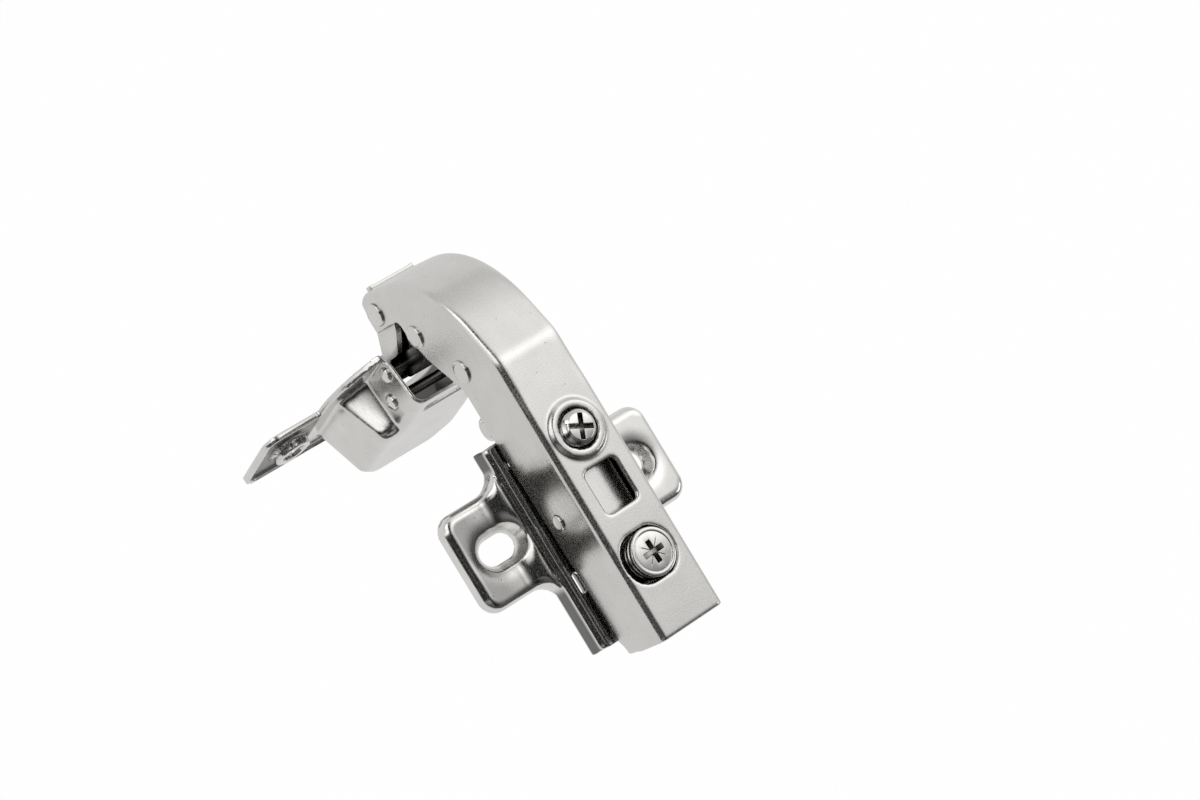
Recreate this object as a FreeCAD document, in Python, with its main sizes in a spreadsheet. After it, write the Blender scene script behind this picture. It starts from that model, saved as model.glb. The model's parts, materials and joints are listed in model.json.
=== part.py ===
import FreeCAD, Part
import math
import os

# Clip-on soft-closing cabinet hinge for a door set flush with a blind panel, wide open.
# Millimetres. Origin midway between the two fixing slots, on the panel face.
# +X runs back along the arm, away from the door, and +Z stands off the panel.

from FreeCAD import Placement, Rotation, Vector

doc = FreeCAD.newDocument("cabinet_hinge")

# Sizes
SIZES = [
    ("arm_half", 7.57, "outer half width of the arm channel"),
    ("arm_sheet", 1.1, "sheet of the arm"),
    ("arm_top", 20.7, "height of the arm's roof"),
    ("arm_rear", 29.1, "open rear end of the arm"),
    ("arm_bend", -29.0, "where the roof starts to slant"),
    ("arm_bend_radius", 7.0, "outer radius of the roof's bend"),
    ("arm_slant", 20.4, "slope of the slanted roof in degrees"),
    ("arm_corner_radius", 25.0, "large rounding over the knuckle"),
    ("arm_front", -53.0, "front of the arm at the tip"),
    ("arm_lean", 5.0, "lean of the arm's front in degrees"),
    ("arm_tip", -12.0, "lowest edge of the arm's tip"),
    ("arm_skirt", 5.6, "lower edge of the arm beside the plate"),
    ("arm_skirt_rear", 6.8, "lower edge of the arm at its rear end"),
    ("arm_edge_radius", 1.4, "rounding between roof and sides"),
    ("window_front", -3.96, "front end of the roof window"),
    ("window_rear", 4.83, "rear end of the roof window"),
    ("window_half", 3.8, "half width of the roof window"),
    ("collar_x", -11.4, "place of the cover screw along the arm"),
    ("collar_radius", 5.3, "embossed ring round the cover screw"),
    ("collar_rise", 0.6, "height of the embossed ring"),
    ("screw_radius", 3.6, "cover screw's threaded head"),
    ("screw_gap", 0.3, "gap between cover screw and ring"),
    ("screw_rise", 1.0, "cover screw's top above the roof"),
    ("neck_radius", 1.9, "necks of both screws"),
    ("neck_gap", 0.1, "gap round a neck"),
    ("foot_radius", 2.8, "cover screw's foot below the base"),
    ("foot_height", 1.2, "height of the screws' feet"),
    ("cam_x", 14.45, "depth cam's pivot along the arm"),
    ("cam_throw", 0.9, "the cam's pivot beside its disc"),
    ("cam_radius", 4.6, "cam's disc"),
    ("cam_gap", 0.2, "gap beside the disc"),
    ("cam_rise", 0.8, "cam above the roof"),
    ("cam_hole_half", 6.2, "half length of the cam's opening"),
    ("recess_length", 4.4, "cross recess, tip to tip"),
    ("recess_width", 1.0, "arm of the cross recess"),
    ("recess_depth", 1.7, "depth of the cross recess"),
    ("tip_x", -48.3, "outer link's pivot"),
    ("tip_z", -8.2, "outer link's pivot"),
    ("link_x", -40.8, "inner link's pivot"),
    ("link_z", 0.4, "inner link's pivot"),
    ("stop_x", -30.8, "stop rivet"),
    ("stop_z", 8.7, "stop rivet"),
    ("tilt_x", 1.6, "tilt rivet"),
    ("tilt_z", 10.5, "tilt rivet"),
    ("rivet_radius", 1.5, "shanks of the link rivets"),
    ("rivet_head", 2.3, "heads of the link rivets"),
    ("rivet_rise", 0.8, "height of the rivet heads"),
    ("tilt_radius", 1.0, "shank of the tilt rivet"),
    ("tilt_head", 1.6, "head of the tilt rivet"),
    ("tilt_travel", 0.36, "tilt rivet's way in the arm"),
    ("depth_travel", 0.64, "depth setting each way"),
    ("pivot_gap", 0.05, "running gap of the pivots"),
    ("plate_sheet", 1.2, "sheet of the mounting plate"),
    ("spine_front", -16.7, "front end of the plate's spine"),
    ("spine_rear", 25.8, "rear end of the plate's spine"),
    ("spine_half", 10.2, "outer half width of the spine"),
    ("spine_top", 4.8, "height of the spine"),
    ("trough_radius", 6.6, "outer radius of the trough"),
    ("wing_half", 10.0, "half length of the wings"),
    ("wing_reach", 24.8, "wings out from the middle"),
    ("wing_top", 3.2, "height of the wings"),
    ("wing_corner", 3.5, "corner rounding of the wings"),
    ("wing_root", 4.5, "rounding where the wings leave the spine"),
    ("slot_pitch", 32.0, "fixing slots, centre to centre"),
    ("slot_width", 5.0, "fixing slot across"),
    ("slot_length", 7.7, "fixing slot along"),
    ("slot_rim", 1.5, "sunk rim round a slot"),
    ("base_half", 6.1, "outer half width of the clip base"),
    ("base_sheet", 1.2, "sheet of the clip base"),
    ("base_top", 15.0, "height of the clip base"),
    ("base_rear", 24.0, "rear end of the clip base"),
    ("base_front", -18.0, "front end of the clip base's roof"),
    ("seat_gap", 0.05, "gap under pieces that stand on others"),
    ("stud_x", -19.5, "front hook studs"),
    ("stud_z", 2.6, "front hook studs"),
    ("stud_radius", 1.2, "shanks of the hook studs"),
    ("stud_head", 1.6, "heads of the hook studs"),
    ("stud_reach", 6.35, "hook studs out from the middle"),
    ("lever_x", 21.5, "release lever's pivot"),
    ("lever_z", 11.5, "release lever's pivot"),
    ("lever_plate", 27.3, "inner face of the ribbed plate"),
    ("lever_sheet", 1.2, "sheet of the release lever"),
    ("lever_half", 6.2, "half width of the ribbed plate"),
    ("lever_low", 6.6, "lower edge of the ribbed plate"),
    ("lever_high", 15.0, "upper edge of the ribbed plate"),
    ("lever_ribs", 12, "ribs on the release lever"),
    ("rib_rise", 0.35, "height of the ribs"),
    ("hook_half", 2.5, "half width of the release hook"),
    ("lever_pin_radius", 1.0, "release lever's pin"),
    ("bridge_half", 4.15, "half width of the plate's rear bridge"),
    ("bridge_top", 7.5, "height of the plate's rear bridge"),
    ("outer_link_half", 6.0, "outer half width of the outer link"),
    ("outer_link_sheet", 1.2, "sheet of the outer link"),
    ("inner_link_half", 3.9, "half width of the inner link's pack"),
    ("inner_link_count", 5, "plates of the inner link"),
    ("plate_gap", 0.05, "gap between the plates of the pack"),
    ("tail_reach", 10.0, "inner link's tails out from their pivot"),
    ("roller_radius", 3.5, "rollers beside the inner link"),
    ("roller_end", 6.4, "outer end of the rollers"),
    ("cup_x", -37.28, "middle of the cup's two screw holes"),
    ("cup_z", -38.28, "middle of the cup's two screw holes"),
    ("cup_tilt", 10.886, "turn of the cup past upright in degrees"),
    ("cup_sheet", 0.8, "sheet of the cup"),
    ("cup_depth", 12.5, "depth of the cup"),
    ("cup_holes", 45.0, "cup's screw holes, centre to centre"),
    ("cup_hole_radius", 2.3, "cup's screw holes"),
    ("cup_dimple", 4.5, "sunk rim round a cup screw hole"),
    ("flange_half", 30.9, "half length of the cup's flange"),
    ("flange_wing", 10.0, "half width of the flange's wings"),
    ("flange_corner", 3.5, "corner rounding of the flange"),
    ("flange_skirt", 1.5, "height of the flange's rim"),
    ("lobe_centre", 9.5, "centre of the round cup"),
    ("lobe_radius", 18.2, "flange round the cup"),
    ("floor_round", 1.9, "rounding between the cup's walls and floor"),
    ("mouth_half", 14.2, "half width of the cup's mouth"),
    ("floor_half", 12.0, "half width of the cup's floor"),
    ("nose_half", 8.5, "half width of the cup's nose"),
    ("nose_end", 25.5, "open end of the cup's nose"),
    ("wire_radius", 1.05, "U-shaped pivot wire"),
    ("leg_one_u", 22.5, "first leg of the pivot wire along the cup"),
    ("leg_one_depth", 3.6, "first leg of the pivot wire into the cup"),
    ("leg_two_u", 18.1, "second leg of the pivot wire along the cup"),
    ("leg_two_depth", 7.6, "second leg of the pivot wire into the cup"),
    ("wire_bend", 1.9, "bends of the pivot wire"),
    ("wire_reach", 10.85, "middle of the wire's bridge"),
    ("wire_end", 9.0, "hammered ends of the wire"),
    ("spring_wire", 0.8, "radius of the spring's wire"),
    ("coil_radius", 1.6, "mean radius of the coil"),
    ("coil_x", -33.0, "centre of the coil"),
    ("coil_z", 1.3, "centre of the coil"),
    ("coil_half", 3.0, "outer turns of the coil"),
    ("damper_radius", 3.7, "damper's cylinder"),
    ("damper_z", 5.05, "damper's axis"),
    ("damper_front", -14.6, "front end of the damper"),
    ("damper_rear", 15.5, "rear end of the damper"),
    ("rod_radius", 1.2, "damper's rod"),
    ("rod_head", 2.2, "damper's fluted head"),
    ("rod_head_front", -26.8, "front of the fluted head"),
    ("rod_head_length", 4.6, "length of the fluted head"),
    ("liner_sheet", 0.9, "plastic liner's wall"),
    ("liner_gap", 0.07, "gap outside the liner"),
    ("liner_rear", -23.5, "rear end of the liner"),
    ("liner_front", -41.5, "front end of the liner"),
    ("block_front", 20.2, "front end of the rear guide"),
    ("block_low", 16.2, "lower face of the rear guide"),
]

sheet = doc.addObject("Spreadsheet::Sheet", "sizes")
for row, (alias, number, note) in enumerate(SIZES, start=1):
    sheet.set("A%d" % row, alias)
    sheet.set("B%d" % row, str(number))
    sheet.set("C%d" % row, note)
    sheet.setAlias("B%d" % row, alias)
doc.recompute()


def size(alias):
    return float(getattr(sheet, alias))


pieces = []


# Outlines
def rounded(points):
    """Closed outline through corners (x, y) or (x, y, radius)."""
    ends = []
    for index, corner in enumerate(points):
        here = Vector(corner[0], corner[1], 0)
        radius = corner[2] if len(corner) > 2 else 0
        if radius <= 0:
            ends.append((here, here, None))
            continue
        last = points[index - 1]
        following = points[(index + 1) % len(points)]
        back = (Vector(last[0], last[1], 0) - here).normalize()
        ahead = (Vector(following[0], following[1], 0) - here).normalize()
        half = back.getAngle(ahead) / 2
        run = radius / math.tan(half)
        inward = (back + ahead).normalize()
        middle = here + inward * (radius / math.sin(half) - radius)
        ends.append((here + back * run, here + ahead * run, middle))
    curves = []
    for index, (start, finish, middle) in enumerate(ends):
        if middle is not None:
            curves.append(Part.Arc(start, middle, finish))
        following = ends[(index + 1) % len(ends)][0]
        if finish.distanceToPoint(following) > 1e-6:
            curves.append(Part.LineSegment(finish, following))
    return curves


def block_outline(x_low, x_high, y_low, y_high, radius=0):
    return rounded([
        (x_low, y_low, radius),
        (x_high, y_low, radius),
        (x_high, y_high, radius),
        (x_low, y_high, radius),
    ])


def circle(x, y, radius):
    return [Part.Circle(Vector(x, y, 0), Vector(0, 0, 1), radius)]


def slot_outline(x, y, half_x, half_y):
    """Rounded slot, longer along y."""
    straight = half_y - half_x
    return [
        Part.Arc(Vector(x + half_x, y + straight, 0), Vector(x, y + half_y, 0),
                 Vector(x - half_x, y + straight, 0)),
        Part.LineSegment(Vector(x - half_x, y + straight, 0), Vector(x - half_x, y - straight, 0)),
        Part.Arc(Vector(x - half_x, y - straight, 0), Vector(x, y - half_y, 0),
                 Vector(x + half_x, y - straight, 0)),
        Part.LineSegment(Vector(x + half_x, y - straight, 0), Vector(x + half_x, y + straight, 0)),
    ]


def inset(curves, distance):
    """The same outline, moved inwards."""
    edges = [curve.toShape() for curve in curves]
    wire = Part.Wire(Part.__sortEdges__(edges))
    moved = wire.makeOffset2D(-distance)
    result = []
    for edge in moved.Edges:
        if edge.Curve.TypeId == "Part::GeomLine":
            result.append(Part.LineSegment(edge.Vertexes[0].Point, edge.Vertexes[-1].Point))
        else:
            start = edge.valueAt(edge.FirstParameter)
            middle = edge.valueAt((edge.FirstParameter + edge.LastParameter) / 2)
            finish = edge.valueAt(edge.LastParameter)
            result.append(Part.Arc(start, middle, finish))
    return result


# Steps of a body
def new_body(label):
    body = doc.addObject("PartDesign::Body", label)
    body.Label = label
    pieces.append(body)
    return body


def sketch(body, name, plane, loops, offset=None):
    item = body.newObject("Sketcher::SketchObject", body.Label + "_" + name)
    support = [face for face in body.Origin.OriginFeatures if face.Role == plane][0]
    item.AttachmentSupport = [(support, "")]
    item.MapMode = "FlatFace"
    for curves in loops:
        for curve in curves:
            item.addGeometry(curve)
    if offset is not None:
        item.setExpression("AttachmentOffset.Base.z", offset)
    return item


def pad(body, profile, length, symmetric=False, reverse=False):
    item = body.newObject("PartDesign::Pad", profile.Name + "_pad")
    item.Profile = profile
    item.setExpression("Length", length)
    if symmetric:
        item.SideType = "Symmetric"
    item.Reversed = reverse
    return item


def pocket(body, profile, length, symmetric=False, reverse=False):
    item = body.newObject("PartDesign::Pocket", profile.Name + "_cut")
    item.Profile = profile
    item.setExpression("Length", length)
    if symmetric:
        item.SideType = "Symmetric"
    item.Reversed = reverse
    return item


def fillet(body, base, chosen, radius):
    item = body.newObject("PartDesign::Fillet", body.Label + "_rounding")
    names = []
    for number, edge in enumerate(base.Shape.Edges, start=1):
        if chosen(edge):
            names.append("Edge%d" % number)
    item.Base = (base, names)
    item.setExpression("Radius", radius)
    return item


def middle_of(edge):
    return edge.valueAt((edge.FirstParameter + edge.LastParameter) / 2)


# Primitives
def cylinder(name, radius, height, place, expressions=()):
    item = doc.addObject("Part::Cylinder", name)
    item.setExpression("Radius", radius)
    item.setExpression("Height", height)
    item.Placement = place
    for target, text in expressions:
        item.setExpression(target, text)
    return item


def along_y(x, y, z):
    return Placement(Vector(x, y, z), Rotation(Vector(1, 0, 0), -90))


def upright(x, y, z):
    return Placement(Vector(x, y, z), Rotation())


def fuse(label, items, keep=True):
    item = doc.addObject("Part::MultiFuse", label)
    item.Shapes = items
    item.Label = label
    if keep:
        pieces.append(item)
    return item


def cross_recess(name, x, top):
    """Two crossed bars that a screwdriver's blade leaves."""
    bars = []
    for suffix, long_side, short_side in (
        ("a", "Length", "Width"),
        ("b", "Width", "Length"),
    ):
        bar = doc.addObject("Part::Box", name + "_bar_" + suffix)
        bar.setExpression(long_side, "sizes.recess_length")
        bar.setExpression(short_side, "sizes.recess_width")
        bar.setExpression("Height", "sizes.recess_depth * 2")
        ends = {"Length": "sizes.recess_length", "Width": "sizes.recess_width"}
        if long_side == "Width":
            ends = {"Length": "sizes.recess_width", "Width": "sizes.recess_length"}
        bar.setExpression("Placement.Base.x", x + " - " + ends["Length"] + " / 2")
        bar.setExpression("Placement.Base.y", "-" + ends["Width"] + " / 2")
        bar.setExpression("Placement.Base.z", top + " - sizes.recess_depth")
        bars.append(bar)
    return fuse(name, bars, keep=False)


# Arm channel
arm_half = size("arm_half")
arm_sheet = size("arm_sheet")
arm_top = size("arm_top")
arm_rear = size("arm_rear")
arm_bend = size("arm_bend")
slope = math.radians(size("arm_slant"))
lean = math.radians(size("arm_lean"))
front_foot = arm_tip = size("arm_tip")
front_low = (size("arm_front"), arm_tip + 1.8)


def knuckle(inward):
    """Corner between slanted roof and front, moved inwards by a distance."""
    start = Vector(arm_bend, arm_top, 0) + Vector(math.sin(slope), -math.cos(slope), 0) * inward
    way = Vector(-math.cos(slope), -math.sin(slope), 0)
    foot = Vector(front_low[0], front_low[1], 0) + Vector(math.cos(lean), -math.sin(lean), 0) * inward
    rise = Vector(math.sin(lean), math.cos(lean), 0)
    gap = foot - start
    run = (gap.x * rise.y - gap.y * rise.x) / (way.x * rise.y - way.y * rise.x)
    return start + way * run


def roof_bend(inward):
    return arm_bend + inward * math.tan(slope / 2)


outer_corner = knuckle(0)
inner_corner = knuckle(arm_sheet)
arm = new_body("arm_channel")
arm_profile = sketch(arm, "side", "XZ_Plane", [rounded([
    (arm_rear, arm_top),
    (arm_bend, arm_top, size("arm_bend_radius")),
    (outer_corner.x, outer_corner.y, size("arm_corner_radius")),
    front_low,
    (front_low[0] + 1.5, arm_tip),
    (size("tip_x") + 3.0, arm_tip, 0.6),
    (size("tip_x") + 3.3, size("link_z") - 2.9, 1.2),
    (size("link_x") - 0.6, size("link_z") - 2.9, 1.5),
    (size("link_x") + 4.8, size("link_z") - 0.7, 3.0),
    (size("stop_x") + 3.3, size("arm_skirt"), 1.0),
    (size("window_front") - 4.0, size("arm_skirt"), 8.0),
    (arm_rear, size("arm_skirt_rear")),
])])
arm_block = pad(arm, arm_profile, "sizes.arm_half * 2", symmetric=True)
doc.recompute()
arm_round = fillet(
    arm, arm_block,
    lambda edge: abs(abs(middle_of(edge).y) - arm_half) < 0.01
    and abs(edge.valueAt(edge.FirstParameter).y - edge.valueAt(edge.LastParameter).y) < 0.01
    and (middle_of(edge).z > arm_top / 2 - 1 and middle_of(edge).x < arm_rear - 0.1
         or middle_of(edge).x < size("tip_x") - 3.5 and middle_of(edge).z > front_low[1]),
    "sizes.arm_edge_radius")
inner_front = front_low[0] + arm_sheet / math.cos(lean)
arm_inside = sketch(arm, "inside", "XZ_Plane", [rounded([
    (arm_rear + 2, arm_top - arm_sheet),
    (roof_bend(arm_sheet), arm_top - arm_sheet, size("arm_bend_radius") - arm_sheet),
    (inner_corner.x, inner_corner.y, size("arm_corner_radius") - arm_sheet),
    (inner_front, front_low[1]),
    (inner_front - math.tan(lean) * 12, front_low[1] - 12),
    (arm_rear + 2, front_low[1] - 12),
])])
pocket(arm, arm_inside, "(sizes.arm_half - sizes.arm_sheet) * 2", symmetric=True)
ring = sketch(arm, "ring", "XY_Plane", [circle(size("collar_x"), 0, size("collar_radius"))],
              "sizes.arm_top - sizes.arm_sheet / 2")
pad(arm, ring, "sizes.arm_sheet / 2 + sizes.collar_rise")
collar_hole = size("screw_radius") + size("screw_gap")
flat = size("cam_radius") + size("cam_gap")
cam_hole = size("cam_hole_half")
cam_x = size("cam_x")
cam_opening = block_outline(cam_x - flat, cam_x + flat, -cam_hole, cam_hole, flat - 0.6)
roof_openings = sketch(arm, "roof_openings", "XY_Plane", [
    circle(size("collar_x"), 0, collar_hole),
    block_outline(size("window_front"), size("window_rear"),
                  -size("window_half"), size("window_half"), 1.2),
    cam_opening,
], "sizes.arm_top + sizes.collar_rise + 1")
pocket(arm, roof_openings, "sizes.arm_sheet + sizes.collar_rise + 2")
hole = size("rivet_radius")
tilt_half = size("tilt_radius") + size("pivot_gap")
tilt_run = size("tilt_travel")
rivet_holes = sketch(arm, "rivet_holes", "XZ_Plane", [
    circle(size("tip_x"), size("tip_z"), hole),
    circle(size("link_x"), size("link_z"), hole),
    circle(size("stop_x"), size("stop_z"), hole),
    block_outline(size("tilt_x") - tilt_half - tilt_run, size("tilt_x") + tilt_half + tilt_run,
                  size("tilt_z") - tilt_half, size("tilt_z") + tilt_half, tilt_half - 0.01),
])
pocket(arm, rivet_holes, "sizes.arm_half * 2 + 4", symmetric=True)

# Mounting plate
plate_sheet = size("plate_sheet")
spine_half = size("spine_half")
spine_top = size("spine_top")
spine_front = size("spine_front")
spine_rear = size("spine_rear")
trough = size("trough_radius")
under = spine_top - plate_sheet
outer_run = math.sqrt(trough ** 2 - (trough - under) ** 2)
inner_radius = trough - plate_sheet
inner_run = math.sqrt(inner_radius ** 2 - (trough - spine_top) ** 2)
inner_side = spine_half - plate_sheet
plate = new_body("mounting_plate")
edge_round = 1.3
section = []
section.append(Part.Arc(Vector(-inner_run, spine_top, 0), Vector(0, plate_sheet, 0),
                        Vector(inner_run, spine_top, 0)))
section.append(Part.LineSegment(Vector(inner_run, spine_top, 0),
                                Vector(spine_half - edge_round, spine_top, 0)))
quarter = edge_round * math.sqrt(0.5)
section.append(Part.Arc(
    Vector(spine_half - edge_round, spine_top, 0),
    Vector(spine_half - edge_round + quarter, spine_top - edge_round + quarter, 0),
    Vector(spine_half, spine_top - edge_round, 0)))
section.append(Part.LineSegment(Vector(spine_half, spine_top - edge_round, 0),
                                Vector(spine_half, 0, 0)))
section.append(Part.LineSegment(Vector(spine_half, 0, 0), Vector(inner_side, 0, 0)))
section.append(Part.LineSegment(Vector(inner_side, 0, 0), Vector(inner_side, under, 0)))
section.append(Part.LineSegment(Vector(inner_side, under, 0), Vector(outer_run, under, 0)))
section.append(Part.Arc(Vector(outer_run, under, 0), Vector(0, 0, 0),
                        Vector(-outer_run, under, 0)))
section.append(Part.LineSegment(Vector(-outer_run, under, 0), Vector(-inner_side, under, 0)))
section.append(Part.LineSegment(Vector(-inner_side, under, 0), Vector(-inner_side, 0, 0)))
section.append(Part.LineSegment(Vector(-inner_side, 0, 0), Vector(-spine_half, 0, 0)))
section.append(Part.LineSegment(Vector(-spine_half, 0, 0),
                                Vector(-spine_half, spine_top - edge_round, 0)))
section.append(Part.Arc(
    Vector(-spine_half, spine_top - edge_round, 0),
    Vector(-spine_half + edge_round - quarter, spine_top - edge_round + quarter, 0),
    Vector(-spine_half + edge_round, spine_top, 0)))
section.append(Part.LineSegment(Vector(-spine_half + edge_round, spine_top, 0),
                                Vector(-inner_run, spine_top, 0)))
spine = sketch(plate, "spine", "YZ_Plane", [section], "sizes.spine_front")
pad(plate, spine, "sizes.spine_rear - sizes.spine_front")
wing_half = size("wing_half")
wing_reach = size("wing_reach")
wing_edge = spine_half - 0.3
root = size("wing_root")


def wing_outline(side):
    return rounded([
        (-wing_half - root - 1, side * (wing_edge - 0.9)),
        (-wing_half - root - 1, side * wing_edge),
        (-wing_half, side * wing_edge, root),
        (-wing_half, side * wing_reach, size("wing_corner")),
        (wing_half, side * wing_reach, size("wing_corner")),
        (wing_half, side * wing_edge, root),
        (wing_half + root + 1, side * wing_edge),
        (wing_half + root + 1, side * (wing_edge - 0.9)),
    ])


wings = sketch(plate, "wings", "XY_Plane", [wing_outline(1), wing_outline(-1)])
wing_pad = pad(plate, wings, "sizes.wing_top")
doc.recompute()
wing_top = size("wing_top")
fillet(
    plate, wing_pad,
    lambda edge: abs(middle_of(edge).z - wing_top) < 0.01
    and abs(middle_of(edge).y) > wing_edge + 0.5,
    "sizes.plate_sheet * 0.75")


def hollow(side):
    inner = side * (outer_run + 1.0)
    return rounded([
        (-wing_half + plate_sheet, inner),
        (-wing_half + plate_sheet, side * (wing_reach - plate_sheet),
         size("wing_corner") - plate_sheet),
        (wing_half - plate_sheet, side * (wing_reach - plate_sheet),
         size("wing_corner") - plate_sheet),
        (wing_half - plate_sheet, inner),
    ])


wing_hollows = sketch(plate, "wing_hollows", "XY_Plane", [hollow(1), hollow(-1)],
                      "sizes.wing_top - sizes.plate_sheet")
pocket(plate, wing_hollows, "sizes.wing_top")
slot_y = size("slot_pitch") / 2
slot_x = size("slot_width") / 2
slot_run = size("slot_length") / 2
rim = size("slot_rim")
slot_bosses = sketch(plate, "slot_bosses", "XY_Plane", [
    slot_outline(0, slot_y, slot_x + rim + 0.2, slot_run + rim + 0.2),
    slot_outline(0, -slot_y, slot_x + rim + 0.2, slot_run + rim + 0.2),
])
pad(plate, slot_bosses, "sizes.wing_top - sizes.plate_sheet / 2")
for side in (1, -1):
    wide = sketch(plate, "sink_top_%d" % (side + 1), "XY_Plane",
                  [slot_outline(0, side * slot_y, slot_x + rim, slot_run + rim)],
                  "sizes.wing_top")
    narrow = sketch(plate, "sink_low_%d" % (side + 1), "XY_Plane",
                    [slot_outline(0, side * slot_y, slot_x, slot_run)],
                    "sizes.wing_top * 0.25")
    sink = plate.newObject("PartDesign::SubtractiveLoft", "sink_%d" % (side + 1))
    sink.Profile = wide
    sink.Sections = [narrow]
    sink.Ruled = True
slots = sketch(plate, "slots", "XY_Plane", [
    slot_outline(0, slot_y, slot_x, slot_run),
    slot_outline(0, -slot_y, slot_x, slot_run),
], "sizes.wing_top")
slot_cut = pocket(plate, slots, "sizes.wing_top * 2")
doc.recompute()
fillet(
    plate, slot_cut,
    lambda edge: abs(middle_of(edge).z - wing_top) < 0.01
    and abs(middle_of(edge).x) < slot_x + rim + 0.05
    and abs(abs(middle_of(edge).y) - slot_y) < slot_run + rim + 0.05,
    "sizes.plate_sheet * 0.5")
hole_side = outer_run + 0.2


def half_round(side):
    reach = 1.0
    return [
        Part.Arc(Vector(-12.0 - reach, side * hole_side, 0),
                 Vector(-12.0, side * (hole_side + reach), 0),
                 Vector(-12.0 + reach, side * hole_side, 0)),
        Part.LineSegment(Vector(-12.0 + reach, side * hole_side, 0),
                         Vector(-12.0 - reach, side * hole_side, 0)),
    ]


base_side = size("base_half") + 0.1
trough_windows = sketch(plate, "trough_windows", "XY_Plane", [
    block_outline(-12.0, -7.0, 0.9, 4.9, 0.8),
    block_outline(-2.7, 2.1, -4.1, 4.1, 0.8),
    block_outline(18.2, spine_rear - plate_sheet, -4.9, 4.9, 1.5),
    half_round(1),
    half_round(-1),
    block_outline(11.0, 15.0, base_side + 0.9, base_side + 1.5),
    block_outline(11.0, 15.0, -base_side - 1.5, -base_side - 0.9),
], "sizes.spine_top + 1")
pocket(plate, trough_windows, "sizes.spine_top + 2")
tabs = sketch(plate, "tabs", "XY_Plane", [
    block_outline(11.0, 15.0, base_side, base_side + 0.8),
    block_outline(11.0, 15.0, -base_side - 0.8, -base_side),
], "sizes.spine_top - sizes.plate_sheet / 2")
pad(plate, tabs, "sizes.plate_sheet / 2 + 0.5")
bridge_half = size("bridge_half")
bridge_top = size("bridge_top")
bridge_leg = spine_top - plate_sheet / 2
bridge = sketch(plate, "bridge", "YZ_Plane", [rounded([
    (-bridge_half - 1.2, bridge_leg),
    (-bridge_half - 1.2, bridge_top, 1.2),
    (bridge_half + 1.2, bridge_top, 1.2),
    (bridge_half + 1.2, bridge_leg),
    (bridge_half - 0.6, bridge_leg),
    (bridge_half - 0.6, bridge_top - 2.0, 0.6),
    (-bridge_half + 0.6, bridge_top - 2.0, 0.6),
    (-bridge_half + 0.6, bridge_leg),
])], "sizes.spine_rear - sizes.plate_sheet")
pad(plate, bridge, "sizes.plate_sheet")

# Clip base, a channel upside down on the plate's two strips
base_top = size("base_top")
base_rear = size("base_rear")
foot = spine_top + size("seat_gap")
stud_x = size("stud_x")
stud_z = size("stud_z")
ear = 2.4
base = new_body("clip_base")
base_profile = sketch(base, "side", "XZ_Plane", [rounded([
    (base_rear, foot),
    (base_rear, base_top, 1.0),
    (size("base_front"), base_top, 3.0),
    (stud_x - ear, base_top * 0.6, 2.0),
    (stud_x - ear, stud_z - ear, ear - 0.02),
    (spine_front - 0.4, stud_z - ear, ear - 0.02),
    (spine_front - 0.4, foot),
])])
pad(base, base_profile, "sizes.base_half * 2", symmetric=True)
base_inside = sketch(base, "inside", "XZ_Plane", [block_outline(
    stud_x - ear - 4, base_rear + 2, -4, base_top - size("base_sheet"))])
pocket(base, base_inside, "(sizes.base_half - sizes.base_sheet) * 2", symmetric=True)
neck = size("neck_radius") + size("neck_gap")
slot_end = size("collar_x") + size("depth_travel")
neck_slot = [
    Part.Arc(Vector(slot_end, -neck, 0), Vector(slot_end + neck, 0, 0), Vector(slot_end, neck, 0)),
    Part.LineSegment(Vector(slot_end, neck, 0), Vector(stud_x - ear - 1, neck, 0)),
    Part.LineSegment(Vector(stud_x - ear - 1, neck, 0), Vector(stud_x - ear - 1, -neck, 0)),
    Part.LineSegment(Vector(stud_x - ear - 1, -neck, 0), Vector(slot_end, -neck, 0)),
]
base_roof = sketch(base, "roof_openings", "XY_Plane", [
    neck_slot,
    circle(cam_x, -size("cam_throw"), neck),
], "sizes.base_top + 1")
pocket(base, base_roof, "sizes.base_sheet + 2")
depth_run = size("depth_travel") + 0.1
base_pins = sketch(base, "pin_holes", "XZ_Plane", [
    block_outline(size("tilt_x") - tilt_half - depth_run, size("tilt_x") + tilt_half + depth_run,
                  size("tilt_z") - tilt_half, size("tilt_z") + tilt_half, tilt_half - 0.01),
    circle(size("lever_x"), size("lever_z"), size("lever_pin_radius")),
    circle(stud_x, stud_z, size("stud_radius")),
])
pocket(base, base_pins, "sizes.base_half * 2 + 2", symmetric=True)

# Front hook studs, one each side
studs = []
for side, name in ((1, "left"), (-1, "right")):
    shank = cylinder("stud_shank_" + name, "sizes.stud_radius",
                     "sizes.base_sheet",
                     along_y(stud_x, 0, stud_z))
    head = cylinder("stud_head_" + name, "sizes.stud_head",
                    "sizes.stud_reach - sizes.base_half",
                    along_y(stud_x, 0, stud_z))
    if side > 0:
        shank.setExpression("Placement.Base.y", "sizes.base_half - sizes.base_sheet")
        head.setExpression("Placement.Base.y", "sizes.base_half")
    else:
        shank.setExpression("Placement.Base.y", "-sizes.base_half")
        head.setExpression("Placement.Base.y", "-sizes.stud_reach")
    for piece in (shank, head):
        piece.setExpression("Placement.Base.x", "sizes.stud_x")
        piece.setExpression("Placement.Base.z", "sizes.stud_z")
    studs.extend([shank, head])
fuse("hook_studs", studs)


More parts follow.
